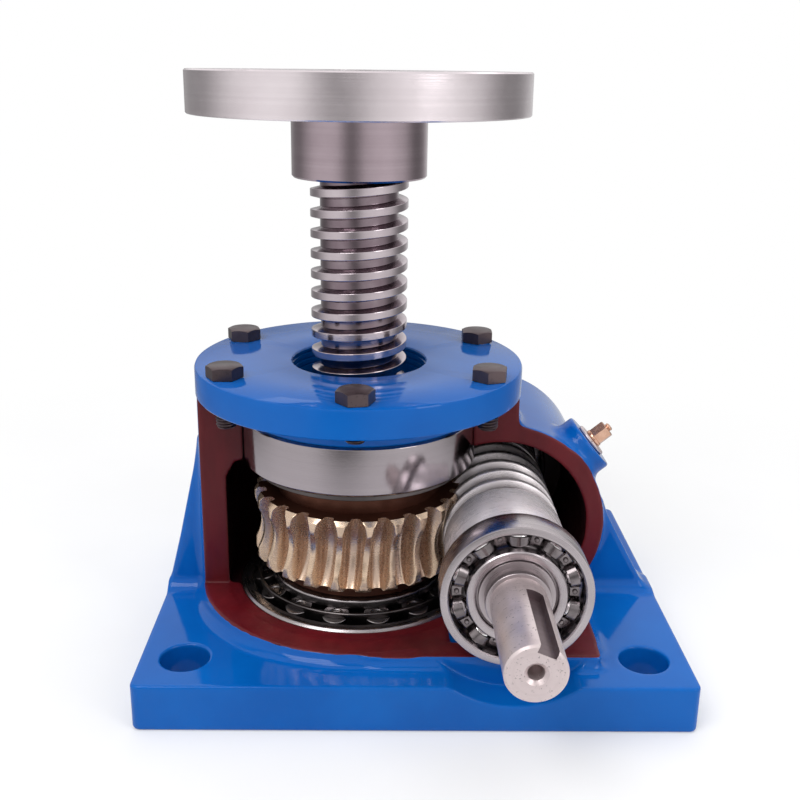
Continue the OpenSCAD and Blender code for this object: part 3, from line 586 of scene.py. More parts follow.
def build_housing():
    step = 1.0
    low = (BASE_LEFT - 3.37, -BASE_Y / 2 - 3.37, -3.37)
    high = (BASE_RIGHT + 4, BASE_Y / 2 + 4, WALL_TOP + 4)
    points, quads = net_of_field(casting, low, high, step)
    corners = points[quads]
    x, y, z = corners.mean(1).T
    normal = np.cross(corners[:, 2] - corners[:, 0], corners[:, 3] - corners[:, 1])
    normal /= np.maximum(np.linalg.norm(normal, axis=1, keepdims=True), 1e-9)
    r, w = np.hypot(x, y), np.hypot(x - WORM_X, z - WORM_Z)
    kind = np.full(len(quads), ENAMELLED, np.int32)
    cut = (z > FLOOR_Z - 1.2) & (np.abs(y - CUT_Y) < 1.5) & (normal[:, 1] < -0.6)
    kind[cut & ((r < WALL_R + 0.5) | (w < BARREL_R + 0.5))] = CUT_FACE
    kind[(np.abs(z - FLOOR_Z) < 1.3) & (normal[:, 2] > 0.6) & (y < CUT_Y + 2)] = CUT_FACE
    # Painted shade: the faces inside the cavity, the worm chamber and the lower seat take the
    # near-black red.
    behind = y > CUT_Y + 0.6
    room = (r < CAVITY_R + 0.7) & (z > 5) & (z < WALL_TOP - 0.5) & behind
    tube = (w < CHAMBER_R + 0.6) & (np.abs(y) < BARREL_HALF - 0.6) & behind
    seat = (r < LOWER_SEAT_R + 1.2) & (z < FLOOR_Z - 0.6) & (z > 1)
    kind[room | tube | seat] = INSIDE
    kind[(w < BALL_SEAT_R + 0.9) & (y < CUT_Y) & (np.abs(y) < BARREL_HALF)
         & (z < FLOOR_Z + 0.5) & (z > 30)] = CUT_FACE
    even_paint_line(points, quads, kind)
    mesh = bpy.data.meshes.new("housing_casting")
    mesh.from_pydata((points * MM).tolist(), [], quads.tolist())
    for material in (BLUE, RED, SHADED_RED):
        mesh.materials.append(material)
    mesh.polygons.foreach_set("material_index", kind)
    mesh.shade_smooth()
    settle(add_object("housing_casting", mesh), "frame", "housing")


build_housing()


# ---- threads
def threaded_bar(profile, lead, phase, low, high, bore, n=72, fade=None):
    """A closed bar along Z with one right-handed thread.

    profile gives the radius at each distance from the ridge's middle, as (distance, radius),
    for half a lead. bore is the radius where both end faces stop. fade, if given, is the
    length over which the ridge dies out at the high end.
    """
    d, r = np.array(profile, float).T
    root = r.min()
    offsets = sorted(set([-x for x in d] + list(d[:-1])))
    turns = range(int((low - phase) // lead) - 2, int((high - phase) // lead) + 3)
    base = np.array([lead * k + o for k in turns for o in offsets])
    m, shift = len(base), len(offsets)
    verts = []
    for i in range(n):
        z = np.clip(base + phase + lead * i / n, low, high)
        off = np.abs((z - phase - lead * i / n + lead / 2) % lead - lead / 2)
        radius = np.interp(off, d, r)
        if fade:
            radius = root + (radius - root) * np.clip((high - z) / fade, 0, 1)
        a = 2 * math.pi * i / n
        verts.append(np.stack([radius * math.cos(a), radius * math.sin(a), z], -1))
    verts = np.concatenate(verts)
    faces = []
    for i in range(n):
        for k in range(m - 1):
            if i < n - 1:
                faces.append((i * m + k, (i + 1) * m + k, (i + 1) * m + k + 1, i * m + k + 1))
            elif k + shift + 1 < m:
                faces.append((i * m + k, k + shift, k + shift + 1, i * m + k + 1))
    count = len(verts)
    ends = [polar(bore, 360 * i / n, z) for z in (low, high) for i in range(n)]
    for i in range(n):
        j = (i + 1) % n
        faces.append((i * m, count + i, count + j, j * m))
        faces.append((i * m + m - 1, j * m + m - 1, count + n + j, count + n + i))
        if bore > 0:
            faces.append((count + i, count + n + i, count + n + j, count + j))
    return np.concatenate([verts, ends]), faces


SCREW_LEAD, SCREW_PHASE = 12.0, 0.48
SCREW_PROFILE = [(0, 29), (1.75, 29), (2.0, 29), (2.2, 28.88), (2.36, 28.5), (2.42, 28.2),
                 (3.55, 23.9), (3.65, 23.5), (3.85, 23.25), (4.15, 23.2), (6, 23.2)]


def build_screw():
    thread = threaded_bar(SCREW_PROFILE, SCREW_LEAD, SCREW_PHASE, 5.0, 301.0, 20.0, fade=4.0)
    core = revolve([(0, 3.0), (20.5, 3.0), (20.5, 301.5), (0, 301.5)], 72)
    new_piece("lift_screw_thread", join_parts([thread, core]), SCREW_STEEL, "lift",
              "lift_screw", angle=34)
    tail = turned([(20, 3.0), (21.5, 3.0), (22.5, 4.0), (22.5, 5.5), (20, 5.5)], 0.2, 72)
    top = turned([(0, 300.5), (22.48, 300.5), (22.48, 344.2), (21.7, 345), (0, 345)], 0.2, 72,
                 keep=(0, 1))
    # The screw's ends take the darker steel, which is painted shade.
    new_piece("lift_screw_ends", join_parts([tail, top]), SHADED_STEEL, "lift")


def build_plate():
    profile = [(0, 344.0), (22.52, 344.0), (22.52, 351), (97.7, 351), (98.5, 350.2),
               (98.5, 327.8), (97.9, 327.15), (97.2, 327), (40.6, 327), (39.8, 326.6),
               (39.5, 325.8), (39.5, 292.6), (38.5, 291.5), (29.9, 291.5), (29.4, 292.0),
               (29.4, 301.5), (0, 301.5)]
    drill = [(0, 320), (9, 320), (9, 350.2), (10.2, 351.6), (10.2, 355), (0, 355)]
    holes = [scratch("tool", revolve(drill, 48), move(x, y, 0))
             for x in (-PLATE_HOLE, PLATE_HOLE) for y in (-PLATE_HOLE, PLATE_HOLE)]
    plate = new_piece("head_plate_turned", revolve(profile, 160), PLATE_STEEL, "lift",
                      "head_plate", cut=holes)
    # Painted shade: the faces under the plate take the darker steel.
    paint_faces(plate, SHADED_STEEL, lambda face: face.center.z < (PLATE_LOW - 0.2) * MM)


# ---- cover and bolts
def build_cover():
    profile = [(41, 150.2), (41.6, 149.4), (42.4, 149), (70.6, 149), (71.7, 150.2), (71.7, 163.5),
               (99, 163.5), (99.6, 163.7), (100, 164.3), (100, 179.6), (99.5, 180.8),
               (98.2, 181.5), (42.6, 181.5), (41.6, 181.1), (41, 180.3)]
    for top in (COVER_TOP - 2.6, COVER_TOP - 6.6, COVER_TOP - 10.6):
        profile += [(41, top), (41.8, top - 0.5), (41.8, top - 1.0), (41, top - 1.5)]
    drill = [(0, 160), (6.6, 160), (6.6, 181), (7.4, 182), (0, 182)]
    holes = [scratch("tool", revolve(drill, 32), turn("Z", 30 + 60 * k) @ move(COVER_BOLT_R, 0, 0))
             for k in range(6)]
    new_piece("top_cover_turned", revolve(profile, 144), BLUE, "frame",
              "top_cover", cut=holes)


def hex_head(af, height, low=0.0):
    """A hexagon head with its top corners turned off, from low to height."""
    per_side, rows = 8, 6
    n = 6 * per_side
    flat = af / 2 - 0.35
    ring = []
    for i in range(n):
        side, t = divmod(i, per_side)
        a, b = (np.array(polar(af / 2 / math.cos(math.pi / 6), 60 * (side + s))[:2]) for s in (0, 1))
        ring.append(tuple(a + (b - a) * t / per_side))
    drop = math.tan(math.radians(28))
    verts, faces = [], [tuple(range(n))[::-1]]
    for k in range(rows + 1):
        for x, y in ring:
            top = height - max(0.0, math.hypot(x, y) - flat) * drop
            verts.append((x, y, low + (top - low) * k / rows))
        faces += ring_faces(k * n, (k + 1) * n, n)
    for x, y in ring:
        s = flat / math.hypot(x, y)
        verts.append((x * s, y * s, height))
    verts.append((0, 0, height))
    faces += [((rows + 1) * n + i, (rows + 1) * n + (i + 1) % n, (rows + 2) * n) for i in range(n)]
    return verts, faces


def bolt(af, head_h, r, length, pitch):
    """A hexagon bolt whose head stands on Z = 0, with its thread below."""
    ridge = 0.55 * pitch
    profile = [(0, r), (0.08 * pitch, r), (0.45 * pitch, r - ridge), (0.5 * pitch, r - ridge)]
    thread = threaded_bar(profile, pitch, 0.3, -length + 0.8, -2.0, 0.0, n=24)
    tip = revolve([(0, -length), (r - 1.1, -length), (r - 0.55, -length + 0.9), (0, -length + 0.9)],
                  24)
    neck = revolve([(0, -2.2), (r, -2.2), (r, 0.3), (0, 0.3)], 24)
    washer = revolve([(0, 0), (af / 2 - 0.4, 0), (af / 2 - 0.4, 0.5), (0, 0.5)], 48)
    return join_parts([hex_head(af, head_h, 0.4), thread, tip, neck, washer])


def build_bolts():
    """The cover's bolts, of which the fifth ends just under the cover as in the photo."""
    for k in range(6):
        place = turn("Z", 30 + 60 * k) @ move(COVER_BOLT_R, 0, COVER_TOP) @ turn("Z", 10 * k)
        new_piece("cover_bolt_%d" % (k + 1), bolt(19, 7.5, 6, 22.5 if k == 4 else 30, 1.75),
                  BOLT_STEEL, "frame", "cover_bolts" if k == 0 else None,
                  matrix=place)
    for k in range(4):
        place = AT_WORM @ turn("Y", 45 + 90 * k) @ move(END_BOLT_R, 118, 0) @ turn("X", -90)
        new_piece("rear_cover_screw_%d" % (k + 1), bolt(13, 5.3, 4, 32, 1.25), BOLT_STEEL,
                  "frame", "rear_cover_screws" if k == 0 else None,
                  matrix=place)


# ---- worm gearing
MODULE, TEETH, WORM_REF_R = 5.0, 24, 31.5
WHEEL_REF_R = MODULE * TEETH / 2
LEAD = math.pi * MODULE
TIP_R, ROOT_R = WORM_REF_R + MODULE, WORM_REF_R - 1.2 * MODULE
THROAT_R = ROOT_R + 1
CORNER_R, CORNER_CUT = WORM_X - THROAT_R + 3.7, 2.5
FACE, PLAY, MESH_Y = 45.5, 0.32, -2.13
FLANK = math.tan(math.radians(20))
TAPER_BORE_R, HUB_R, NUT_R = 42.5, 52.0, 29.5
KEY_TURN = 67
WHEEL_LOW, WHEEL_HIGH = 44.5, 110.5


def worm_side(r, h):
    return WORM_X - math.sqrt(r * r - h * h)


def flank_angle(r, h, side):
    """Angle in degrees at which a tooth space's flank stands on radius r at height h."""
    low = worm_side(TIP_R, h)
    r = max(r, low + 0.03)
    d = np.radians(np.linspace(-1, 1, 61) * math.degrees(math.acos(min(1, low / r))))
    at = np.maximum(ROOT_R, np.hypot(WORM_X - r * np.cos(d), h))
    half = LEAD / 4 - (at - WORM_REF_R) * FLANK
    y = LEAD * np.arcsin(h / at) / (2 * math.pi) + side * (half + PLAY)
    return side * math.degrees(np.max(side * ((y - r * np.sin(d)) / WHEEL_REF_R + d)))


def wheel_rim():
    """The toothed rim with its ends, as a ring round the screw axis at the worm's height."""
    e = FACE / 2
    heights = [-e, -e + 0.4, -e + 1.3, *np.linspace(-e + CORNER_CUT, e - CORNER_CUT, 29),
               e - 1.3, e - 0.4, e]
    # how far up the flank each row of points sits, and by how many degrees it is eased there
    shares = [0.0, 0.08, 0.18, 0.32, 0.5, 0.7, 0.88, 0.97, 1.0]
    relief = np.interp(shares, [0, 0.13, 0.36, 0.68], [0.35, 0.28, 0.12, 0])
    pitch = 360 / TEETH
    rows = []
    for h in heights:
        low = worm_side(TIP_R, h)
        depth = low - worm_side(TIP_R + 1, h)
        top = min(CORNER_R, worm_side(THROAT_R, h)) if abs(h) < THROAT_R * 0.9 else CORNER_R
        top -= max(0.0, abs(h) - e + CORNER_CUT)
        radii = [low + (top - low) * s for s in shares]
        right, left = ([(r, flank_angle(r, h, side) + side * g) for r, g in zip(radii, relief)]
                       for side in (1, -1))
        mid, half = (left[0][1] + right[0][1]) / 2, (right[0][1] - left[0][1]) / 2
        crown, other = right[-1][1], pitch + left[-1][1]
        floor = [(low - depth * math.cos(a), mid + half * math.sin(a))
                 for a in np.radians(np.linspace(-72, 72, 9))]
        inset = min(0.45, (other - crown) * 0.2)
        rows.append(floor[4:] + right[:-1]
                    + [(top - 0.12, crown), (top, crown + inset), (top, (crown + other) / 2),
                       (top, other - inset), (top - 0.12, other)]
                    + [(r, pitch + t) for r, t in left[-2::-1] + floor[:4]])
    count = len(rows[0]) * TEETH
    verts = [polar(r, t + pitch * k, h) for ring, h in zip(rows, heights)
             for k in range(TEETH) for r, t in ring]
    faces = []
    for i in range(len(rows) - 1):
        faces += ring_faces(i * count, (i + 1) * count, count)
    bore = len(verts)
    for row, h in ((0, -e), (len(rows) - 1, e)):
        faces += ring_faces(row * count, len(verts), count)
        verts += [polar(HUB_R - 1, t + pitch * k, h) for k in range(TEETH) for _, t in rows[row]]
    return verts, faces + ring_faces(bore, bore + count, count)


def nut_ridge():
    """The lifting thread inside the wheel, as one helical bar."""
    w = SCREW_LEAD / 2 - 0.7
    slope = math.tan(math.radians(15))
    r_in, r_out, mid = 23.7, NUT_R + 0.6, 26.0
    half_in, half_out = w / 2 - (mid - r_in) * slope, w / 2 + (r_out - mid) * slope
    n, turns = 72, 9.5
    start = SCREW_PHASE + SCREW_LEAD * (math.ceil((22 - SCREW_PHASE) / SCREW_LEAD) + 0.5)
    steps = int(n * turns)
    section = [(r_in, -half_in), (r_out, -half_out), (r_out, half_out), (r_in, half_in)]
    verts = [polar(r, 360 * i / n, start + SCREW_LEAD * i / n + z)
             for i in range(steps + 1) for r, z in section]
    faces = [face for i in range(steps) for face in ring_faces(4 * i, 4 * i + 4, 4)]
    m = 4 * steps
    return verts, faces + [(0, 3, 2, 1), (m, m + 1, m + 2, m + 3)]


def build_wheel():
    rim = moved(wheel_rim(), move(0, 0, WORM_Z) @ turn("Z", math.degrees(MESH_Y / WHEEL_REF_R)))
    teeth = new_piece("worm_wheel_cut", rim, BRONZE, "wheel", "worm_wheel", angle=32)
    # Painted shade: the rim's end faces take the near-black bronze.
    paint_faces(teeth, SHADED_BRONZE, lambda face: abs(face.normal.z) > 0.95)
    hub = [(31, 9), (31, 13), (NUT_R, 14.5), (NUT_R, 140.5), (31, 142), (31, 146), (41.5, 146),
           (TAPER_BORE_R, 145), (TAPER_BORE_R, WHEEL_HIGH), (HUB_R - 1.2, WHEEL_HIGH),
           (HUB_R, WHEEL_HIGH - 1.2), (HUB_R, 98.6), (49, 97), (49, 58), (HUB_R, 56.4),
           (HUB_R, WHEEL_LOW + 1.2), (HUB_R - 1.2, WHEEL_LOW),
           (TAPER_BORE_R, WHEEL_LOW), (TAPER_BORE_R, 10), (41.5, 9)]
    # The hub is all near-black bronze, which is painted shade.
    new_piece("worm_wheel_hub", join_parts([revolve(hub, 144), nut_ridge()]), SHADED_BRONZE,
              "wheel", angle=32)


def build_worm():
    profile = [(0, 36.5), (1.75, 36.5), (2.0, 36.38), (2.3, 35.9), (5.55, 27.0), (5.95, 26.1),
               (6.5, 25.65), (LEAD / 2, 25.5)]
    worm = threaded_bar(profile, LEAD, MESH_Y - LEAD / 2, -43.0, 43.0, 22.6, n=120)
    new_piece("worm_thread", moved(worm, TO_REAR), WORM_STEEL, "worm",
              "worm_shaft", angle=34)
    journal = revolve([(0, 42), (JOURNAL_R, 42), (JOURNAL_R, 107.2), (21.5, 107.4),
                       (21.5, 109.6), (21.2, 109.9), (0, 109.9)], 96)
    step = turned([(0, 108), (18.2, 108), (18.2, 117.4), (0, 117.4)], 0.7, 96, keep=(0, 1, 3))
    half = join_parts([journal, step])
    new_piece("worm_journals", join_parts([moved(half, TO_REAR), moved(half, TO_FRONT)]),
              JOURNAL_STEEL, "worm")
    end_profile = [(0, 100), (16, 100), (16, 183.4), (15.8, 184.0), (14.6, 185), (6.3, 185),
                   (6.05, 184.85), (4.3, 183.2), (4.25, 182.9), (4.25, 166), (0, 163.4)]
    keyway = prism([(11, -5), (30, -5), (30, 5), (11, 5)], 130, 200)
    for (side, to_end), key_turn in zip(ENDS, (KEY_TURN, -KEY_TURN)):
        at = to_end @ turn("Z", key_turn)
        end = scratch(side + "_shaft_end", revolve(end_profile, 128), at)
        slot = scratch("tool", keyway, at)
        for piece in (end, slot):
            piece.data.materials.append(SHAFT_STEEL)
        # Painted shade: the keyway's walls take the darker steel.
        paint_faces(end, SLOT_SHADE_STEEL, lambda face: False)
        paint_faces(slot, SLOT_SHADE_STEEL, lambda face: True)
        carve(end, [slot])
        tidy_mesh(end)
        shade(end)
        settle(end, "worm")
    sleeve = [(SHAFT_BORE_R, 43.0), (SLEEVE_R, 43.0), (SLEEVE_R, SLEEVE_END),
              (SHAFT_BORE_R, SLEEVE_END)]
    for side, to_end in ENDS:
        new_piece(side + "_sleeve_ground", turned(sleeve, 0.9, 120), SLEEVE_STEEL, "worm",
                  side + "_sleeve", matrix=to_end)


# ---- bearings
BALL_R, PITCH_R, GROOVE_R, BALLS = 6.35, 32.7, 6.6, 10
RING_WIDTH = 19.0
LAND = 4.9                               # from the pitch circle to both rings' shoulders


def mirrored(half):
    """The other half of a ring's section, from the middle plane outwards."""
    return [(r, RING_WIDTH - z) for r, z in half[::-1]]


def track(out):
    """The groove that the balls run in: out is 1 in the outer ring and -1 in the inner one."""
    centre = PITCH_R + out * (BALL_R + 0.05 - GROOVE_R)
    a = math.acos((LAND - BALL_R - 0.05 + GROOVE_R) / GROOVE_R)
    return [(centre + out * GROOVE_R * math.cos(t), RING_WIDTH / 2 + GROOVE_R * math.sin(t))
            for t in np.linspace(out * a, -out * a, 13)]


def ball_bearing(side, to_end):
    seat = to_end @ move(0, 0, SLEEVE_END)
    edge = PITCH_R + LAND
    half = [(edge, 0.7), (edge + 0.7, 0), (41.4, 0), (42.2, 0.35), (BALL_SEAT_R, 1.1)]
    new_piece(side + "_outer_race", revolve(half + mirrored(half) + track(1), 144), RING_STEEL,
              "frame", side + "_outer_ring", matrix=seat)
    edge = PITCH_R - LAND
    half = [(SHAFT_BORE_R, 1.6), (22.95, 0.55), (24.0, 0), (edge - 0.7, 0), (edge, 0.7)]
    new_piece(side + "_inner_race", revolve(half + track(-1) + mirrored(half), 144), RING_STEEL,
              "worm", side + "_inner_ring", matrix=seat)
    body = side + "_ball_set"
    r = BALL_R - 0.03
    ball = revolve([(0, -r)] + [(r * math.cos(t), r * math.sin(t))
                                for t in np.linspace(-math.pi / 2, math.pi / 2, 21)[1:-1]]
                   + [(0, r)], 40)
    for k in range(BALLS):
        new_piece(side + "_ball_%d" % (k + 1), ball, BALL_STEEL, body,
                  side + "_balls" if k == 0 else None, angle=None,
                  matrix=seat @ turn("Z", 90 + 360 / BALLS * k) @ move(PITCH_R, 0, RING_WIDTH / 2))
    new_piece(side + "_ball_cage", cage_wave(), CAGE_STEEL, body,
              side + "_cage", angle=40, matrix=seat @ turn("Z", 90))


def cage_wave():
    """A pressed two-ribbon cage: flat between the balls, bulged round each of them."""
    verts, faces = [], []
    n, share_of_turn = BALLS * 36, 360 / BALLS
    half_angle = math.degrees(math.asin((BALL_R + 0.6) / PITCH_R))
    r_in, r_out, thick = PITCH_R - 2.6, PITCH_R + 2.6, 0.9
    for face in (1, -1):
        start = len(verts)
        for i in range(n):
            t = 360 * i / n
            off = (t + share_of_turn / 2) % share_of_turn - share_of_turn / 2
            share = min(1.0, abs(off) / half_angle)
            low = max(0.05, (BALL_R + 0.18) * math.sqrt(max(0.0, 1 - share ** 2)))
            verts += [polar(r, t, RING_WIDTH / 2 + face * z) for r, z in
                      ((r_in, low), (r_out, low), (r_out, low + thick), (r_in, low + thick))]
            faces += ring_faces(start + 4 * i, start + 4 * ((i + 1) % n), 4)
    rivet = turned([(0, -2.1), (1.4, -2.1), (1.4, 2.1), (0, 2.1)], 0.6, 20, keep=(0, 3))
    return join_parts([(verts, faces)] + [
        moved(rivet, turn("Z", share_of_turn * (k + 0.5)) @ move(PITCH_R, 0, RING_WIDTH / 2))
        for k in range(BALLS)])


RACE_R, CUP_H, CONE_H, BEARING_T = 68.5, 30.0, 36.0, 38.5
CUP_ANGLE, AXIS_ANGLE, CONE_ANGLE, ROLLER_ANGLE = (math.radians(v) for v in (15, 13.2, 11.4, 1.8))
APEX = CUP_H - RACE_R / math.tan(CUP_ANGLE)
ROLLER_TOP, ROLLER_LOW, ROLLERS = CUP_H + 2, 6.0, 15


def roller_mid(z):
    return (z - APEX) * math.tan(AXIS_ANGLE)


def roller_set(seat, play, over):
    """All rollers of a bearing, thicker by play and longer by over at both ends."""
    s0, s1 = ((z - APEX) / math.cos(AXIS_ANGLE) for z in (ROLLER_LOW, ROLLER_TOP))
    r0, r1 = (s * math.tan(ROLLER_ANGLE) + play for s in (s0, s1))
    if over:
        roller = revolve([(0, s0 - over), (r0, s0 - over), (r1, s1 + over), (0, s1 + over)], 24)
    else:
        roller = turned([(0, s0), (r0, s0), (r1, s1), (r1 * 0.55, s1), (r1 * 0.42, s1 - 0.7),
                         (0, s1 - 0.7)], 0.6, 32, keep=(0, 5))
    return join_parts([moved(roller, seat @ turn("Z", 360 * (k + 0.5) / ROLLERS - 90) @
                             move(0, 0, APEX) @ turn("Y", math.degrees(AXIS_ANGLE)))
                       for k in range(ROLLERS)])


def taper_bearing(side, seat, outer_r, cup_material):
    race = [(z - APEX) * math.tan(CUP_ANGLE) for z in (0.8, CUP_H - 0.6)]
    cup = [(race[0], 0.8), (race[0] + 0.8, 0), (outer_r - 1.2, 0), (outer_r, 1.2),
           (outer_r, CUP_H - 1.6), (outer_r - 1.6, CUP_H), (race[1] + 0.7, CUP_H),
           (race[1], CUP_H - 0.6)]
    new_piece(side + "_cup_ground", turned(cup, 0.5, 160), cup_material, "frame",
              side + "_cup", matrix=seat)
    slope = math.tan(CONE_ANGLE)
    low = CUP_H + 8.5 - CONE_H
    rib = (roller_mid(ROLLER_TOP) - (ROLLER_TOP - APEX) * slope) * math.tan(AXIS_ANGLE)
    foot, face = ROLLER_LOW - 0.9, ROLLER_TOP + rib + 0.15
    foot_r, face_r = (foot - APEX) * slope, (face - APEX) * slope
    cone = [(TAPER_BORE_R, low + 1), (TAPER_BORE_R + 1, low), (foot_r + 1.3, low), (foot_r + 1.3, foot),
            (foot_r, foot), (face_r, face), (face_r + 3.4, face - 3.4 * math.tan(AXIS_ANGLE)),
            (face_r + 3.4, BEARING_T - 0.8), (face_r + 2.6, BEARING_T),
            (TAPER_BORE_R + 1, BEARING_T), (TAPER_BORE_R, BEARING_T - 1)]
    new_piece(side + "_cone_ground", turned(cone, 0.4, 144), RIM_STEEL, "wheel",
              side + "_cone", matrix=seat)
    new_piece(side + "_rollers_ground", roller_set(seat, -0.06, 0), ROLLER_STEEL,
              side + "_roller_set", side + "_rollers", angle=35)
    low, high = 3.2, ROLLER_TOP + 3
    low_r, high_r = roller_mid(low) + 2.1, roller_mid(high) + 2.1
    cage = [(low_r - 1.6, low - 0.2), (low_r + 1.9, low), (low_r + 2.2, low + 0.6),
            (high_r + 2.2, high - 0.4), (high_r + 1.8, high), (high_r + 0.4, high),
            (high_r, high - 0.5), (low_r, low + 1.1), (low_r - 1.6, low + 0.9)]
    new_piece(side + "_cage_pressed", revolve(cage, 180), DARK_STEEL, side + "_roller_set",
              side + "_cage", angle=35, matrix=seat,
              cut=[scratch("tool", roller_set(seat, 0.22, 0.3))])


# ---- rear cover, seal, nipple
def build_rear_cover():
    profile = [(26, 111.4), (42.55, 111.4), (42.55, 102.0), (58.8, 102.0), (60, 103.0),
               (60, 116.2), (59.5, 117.4), (58.2, 118), (27, 118), (26, 117.2)]
    drill = [(0, 96), (4.4, 96), (4.4, 117.4), (5.2, 118.4), (0, 118.4)]
    holes = [scratch("tool", revolve(drill, 24),
                     TO_REAR @ turn("Z", 45 + 90 * k) @ move(END_BOLT_R, 0, 0)) for k in range(4)]
    new_piece("rear_bearing_cover", revolve(profile, 128), BLUE, "frame",
              "rear_end_cover", matrix=TO_REAR, cut=holes)
    seal = [(18.25, 113.4), (19.4, 111.7), (26, 111.7), (26, 117.7), (24.6, 117.7),
            (24.0, 116.6), (21.6, 116.6), (21.0, 117.7), (19.8, 117.7), (19.8, 115.4)]
    new_piece("rear_seal_lip", turned(seal, 0.3, 96), RUBBER, "frame",
              "rear_shaft_seal", matrix=TO_REAR)


def build_nipple():
    at = AT_WORM @ move(0, BOSS_Y, 0) @ turn("Y", 90 - BOSS_ANGLE) @ move(0, 0, BOSS_FACE)
    washer = [(5.1, 0), (10.4, 0), (11, 0.5), (11, 1.5), (10.4, 2), (5.1, 2)]
    new_piece("nipple_washer_turned", turned(washer, 0.25, 64), SHAFT_STEEL, "frame",
              "nipple_washer", matrix=at)
    shank = [(0, -10), (5, -10), (5, 2.2), (5.9, 2.4), (5.9, 3.9), (5.3, 4.3), (0, 4.3)]
    button = [(0, 13.0), (2.4, 13.0), (2.4, 14.2), (2.7, 14.7), (2.5, 15.5), (1.5, 16),
              (0.8, 15.7), (0, 15.6)]
    stub = moved(hex_head(10.2, 9.4), move(0, 0, 4.2))
    round_parts = [revolve(softened(p, 0.15, 2), 48) for p in (shank, button)]
    new_piece("grease_nipple_turned", join_parts(round_parts + [stub]), BRASS, "frame",
              "grease_nipple", angle=32, matrix=at)


def build_set_screw():
    at = move(0, 0, 313.5) @ turn("X", -90)
    screw = turned([(0, 22.6), (4.4, 22.6), (5, 23.4), (5, 37.4), (4.4, 38), (0, 38)], 0.2, 40,
                   keep=(0, 5))
    socket = prism([polar(2.9 / math.cos(math.pi / 6), 60 * i)[:2] for i in range(6)], 34, 40)
    new_piece("plate_set_screw_socket", screw, BOLT_STEEL, "lift",
              "plate_set_screw", matrix=at, cut=[scratch("tool", socket, at)])


build_screw()
build_plate()
build_cover()
build_bolts()
build_wheel()
build_worm()
for which, way in ENDS:
    ball_bearing(which, way)
taper_bearing("lower", move(0, 0, LOWER_SEAT_Z), LOWER_SEAT_R, RIM_STEEL)
taper_bearing("upper", move(0, 0, UPPER_SEAT_Z) @ turn("X", 180), UPPER_SEAT_R, CUP_STEEL)
build_rear_cover()
build_nipple()
build_set_screw()


# ---- floor, lights, camera
ROOM = [(-180, 0.42), (-152, 0.38), (-128, 0.3), (-108, 0.42), (-84, 0.8), (-60, 0.95),
        (-36, 0.85), (-20, 0.42), (-5, 0.38), (10, 0.75), (41, 1.0), (62, 0.9), (84, 0.65),
        (104, 0.3), (130, 0.32), (148, 0.6), (166, 0.7), (180, 0.42)]
CEILING, UNDER_LAMP = (0.05, 0.36), (0.66, 0.84)


def room_bands(s, place):
    """How bright the room is on each side, as mirrors see it: windows with walls between."""
    way = s.node("SeparateXYZ", {0: place}).outputs
    azimuth = s.math("ARCTAN2", way["X"], s.math("MULTIPLY", way["Y"], -1.0))
    walls = s.node("ValToRGB", {0: s.math("ADD", s.math("DIVIDE", azimuth, 2 * math.pi), 0.5)})
    bands = walls.color_ramp
    bands.interpolation = "CARDINAL"
    bands.elements[0].position, bands.elements[1].position = 0.0, 1.0
    for at, level in ROOM[1:-1]:
        bands.elements.new(at / 360 + 0.5).color = (level, level, level, 1)
    for end in (0, -1):
        bands.elements[end].color = (ROOM[end][1],) * 3 + (1,)
    return walls.outputs[0], way["Z"]


def build_floor():
    corners = [(-4000, -4000, 0), (4000, -4000, 0), (4000, 4000, 0), (-4000, 4000, 0)]
    floor = scratch("floor", (corners, [(0, 1, 2, 3)]))
    floor.location.z = -0.0002
    s = Shader("pale_floor")
    speck = s.noise(6, 3)
    base = s.mix(s.map(speck, 0.3, 0.7, 0, 1), (0.86, 0.86, 0.87), (0.90, 0.90, 0.91))
    s.finish(Base_Color=base, Roughness=0.7, Specular_IOR_Level=0.2)
    away = s.node("VectorMath", {0: s.coords}, operation="LENGTH").outputs["Value"]
    path = s.node("LightPath").outputs
    straight = s.math("MAXIMUM", path["Is Camera Ray"], path["Is Transmission Ray"])
    seen = s.math("MAXIMUM", straight, path["Is Glossy Ray"])
    level = s.math("MAXIMUM", straight, room_bands(s, s.coords)[0])
    glow = s.node("Emission", {"Color": (1, 1, 1, 1), "Strength": level}).outputs[0]
    fade = s.math("MULTIPLY", seen, s.map(away, 0.22, 0.62, 0.25, 1.0))
    mixed = s.node("MixShader", {0: fade, 1: s.bsdf.outputs[0], 2: glow}).outputs[0]
    s.link(mixed, s.tree.nodes["Material Output"].inputs["Surface"])
    floor.data.materials.append(s.mat)


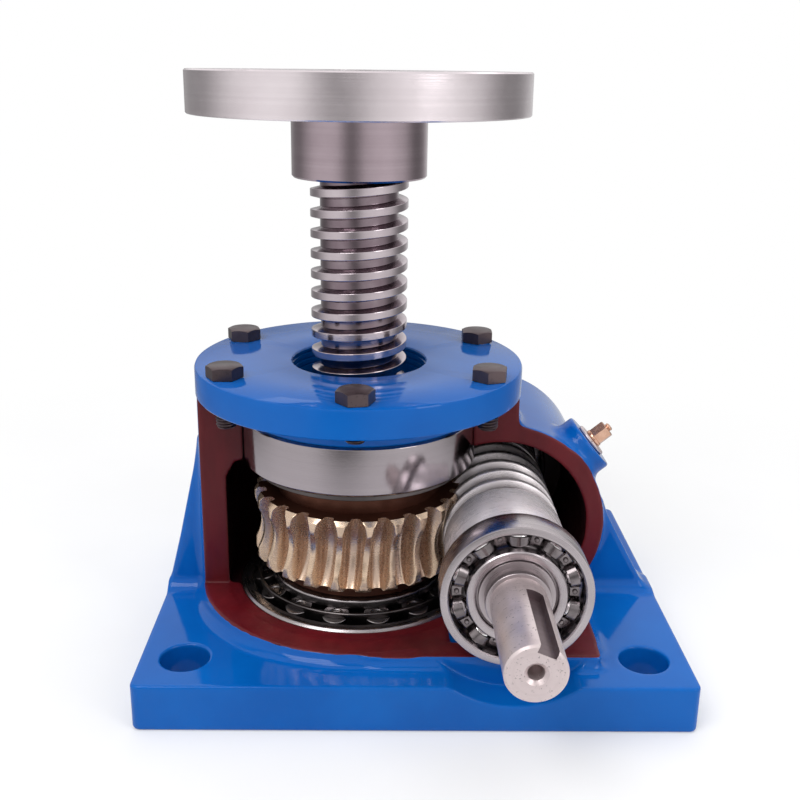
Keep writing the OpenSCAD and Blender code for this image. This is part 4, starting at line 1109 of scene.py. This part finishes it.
def lamp(name, place, aim, size, watts):
    data = bpy.data.lights.new(name, "AREA")
    data.shape, data.size, data.size_y = "RECTANGLE", size[0], size[1]
    data.energy = watts
    obj = add_object(name, data)
    obj.location = place
    obj.rotation_euler = (Vector(aim) - Vector(place)).to_track_quat("-Z", "Y").to_euler()


def build_studio():
    world = bpy.data.worlds.new("studio")
    bpy.context.scene.world = world
    world.use_nodes = True
    s = Nodes(world.node_tree)
    path = s.node("LightPath").outputs
    walls, up = room_bands(s, s.node("TexCoord").outputs["Generated"])
    high = s.step(up, *CEILING)
    under_lamp = s.math("MULTIPLY", 0.95, s.step(up, *UNDER_LAMP))
    room = s.math("ADD", s.math("SUBTRACT", high, under_lamp),
                  s.math("MULTIPLY", walls, s.math("SUBTRACT", 1.0, high)))
    straight = s.math("MAXIMUM", path["Is Camera Ray"], path["Is Transmission Ray"])
    soft = s.math("ADD", 0.26, s.math("MULTIPLY", 0.44, s.math("MAXIMUM", up, 0.0)))
    plain = s.math("MAXIMUM", straight, soft)
    mirror = path["Is Glossy Ray"]
    strength = s.math("ADD", s.math("MULTIPLY", mirror, room),
                      s.math("MULTIPLY", plain, s.math("SUBTRACT", 1.0, mirror)))
    background = s.tree.nodes["Background"]
    background.inputs["Color"].default_value = (1, 1, 1, 1)
    s.link(strength, background.inputs["Strength"])
    lamp("key", (-0.7, -0.9, 1.5), (0, 0, 0.15), (0.9, 0.9), 13)
    lamp("fill", (1.1, -1.0, 0.9), (0.05, 0, 0.15), (0.5, 1.0), 5)
    lamp("top", (0.1, 0.2, 1.7), (0, 0, 0.15), (2.4, 2.4), 17)


def build_camera():
    data = bpy.data.cameras.new("camera")
    data.lens, data.sensor_width, data.sensor_fit = 46.46, 36.0, "HORIZONTAL"
    data.shift_x, data.shift_y = 0.0072, -0.0177
    data.clip_start, data.clip_end = 0.01, 50
    cam = add_object("camera", data)
    right = Vector((0.999888, -0.009287, 0.011779))
    up = Vector((-0.0085, 0.296155, 0.955102))
    back = right.cross(up)
    cam.matrix_world = Matrix.Translation((0.013923, -0.612965, 0.353555)) @ \
        Matrix((right, up, back)).transposed().to_4x4()
    bpy.context.scene.camera = cam


build_floor()
build_studio()
build_camera()
bpy.context.scene.view_settings.view_transform = "Standard"
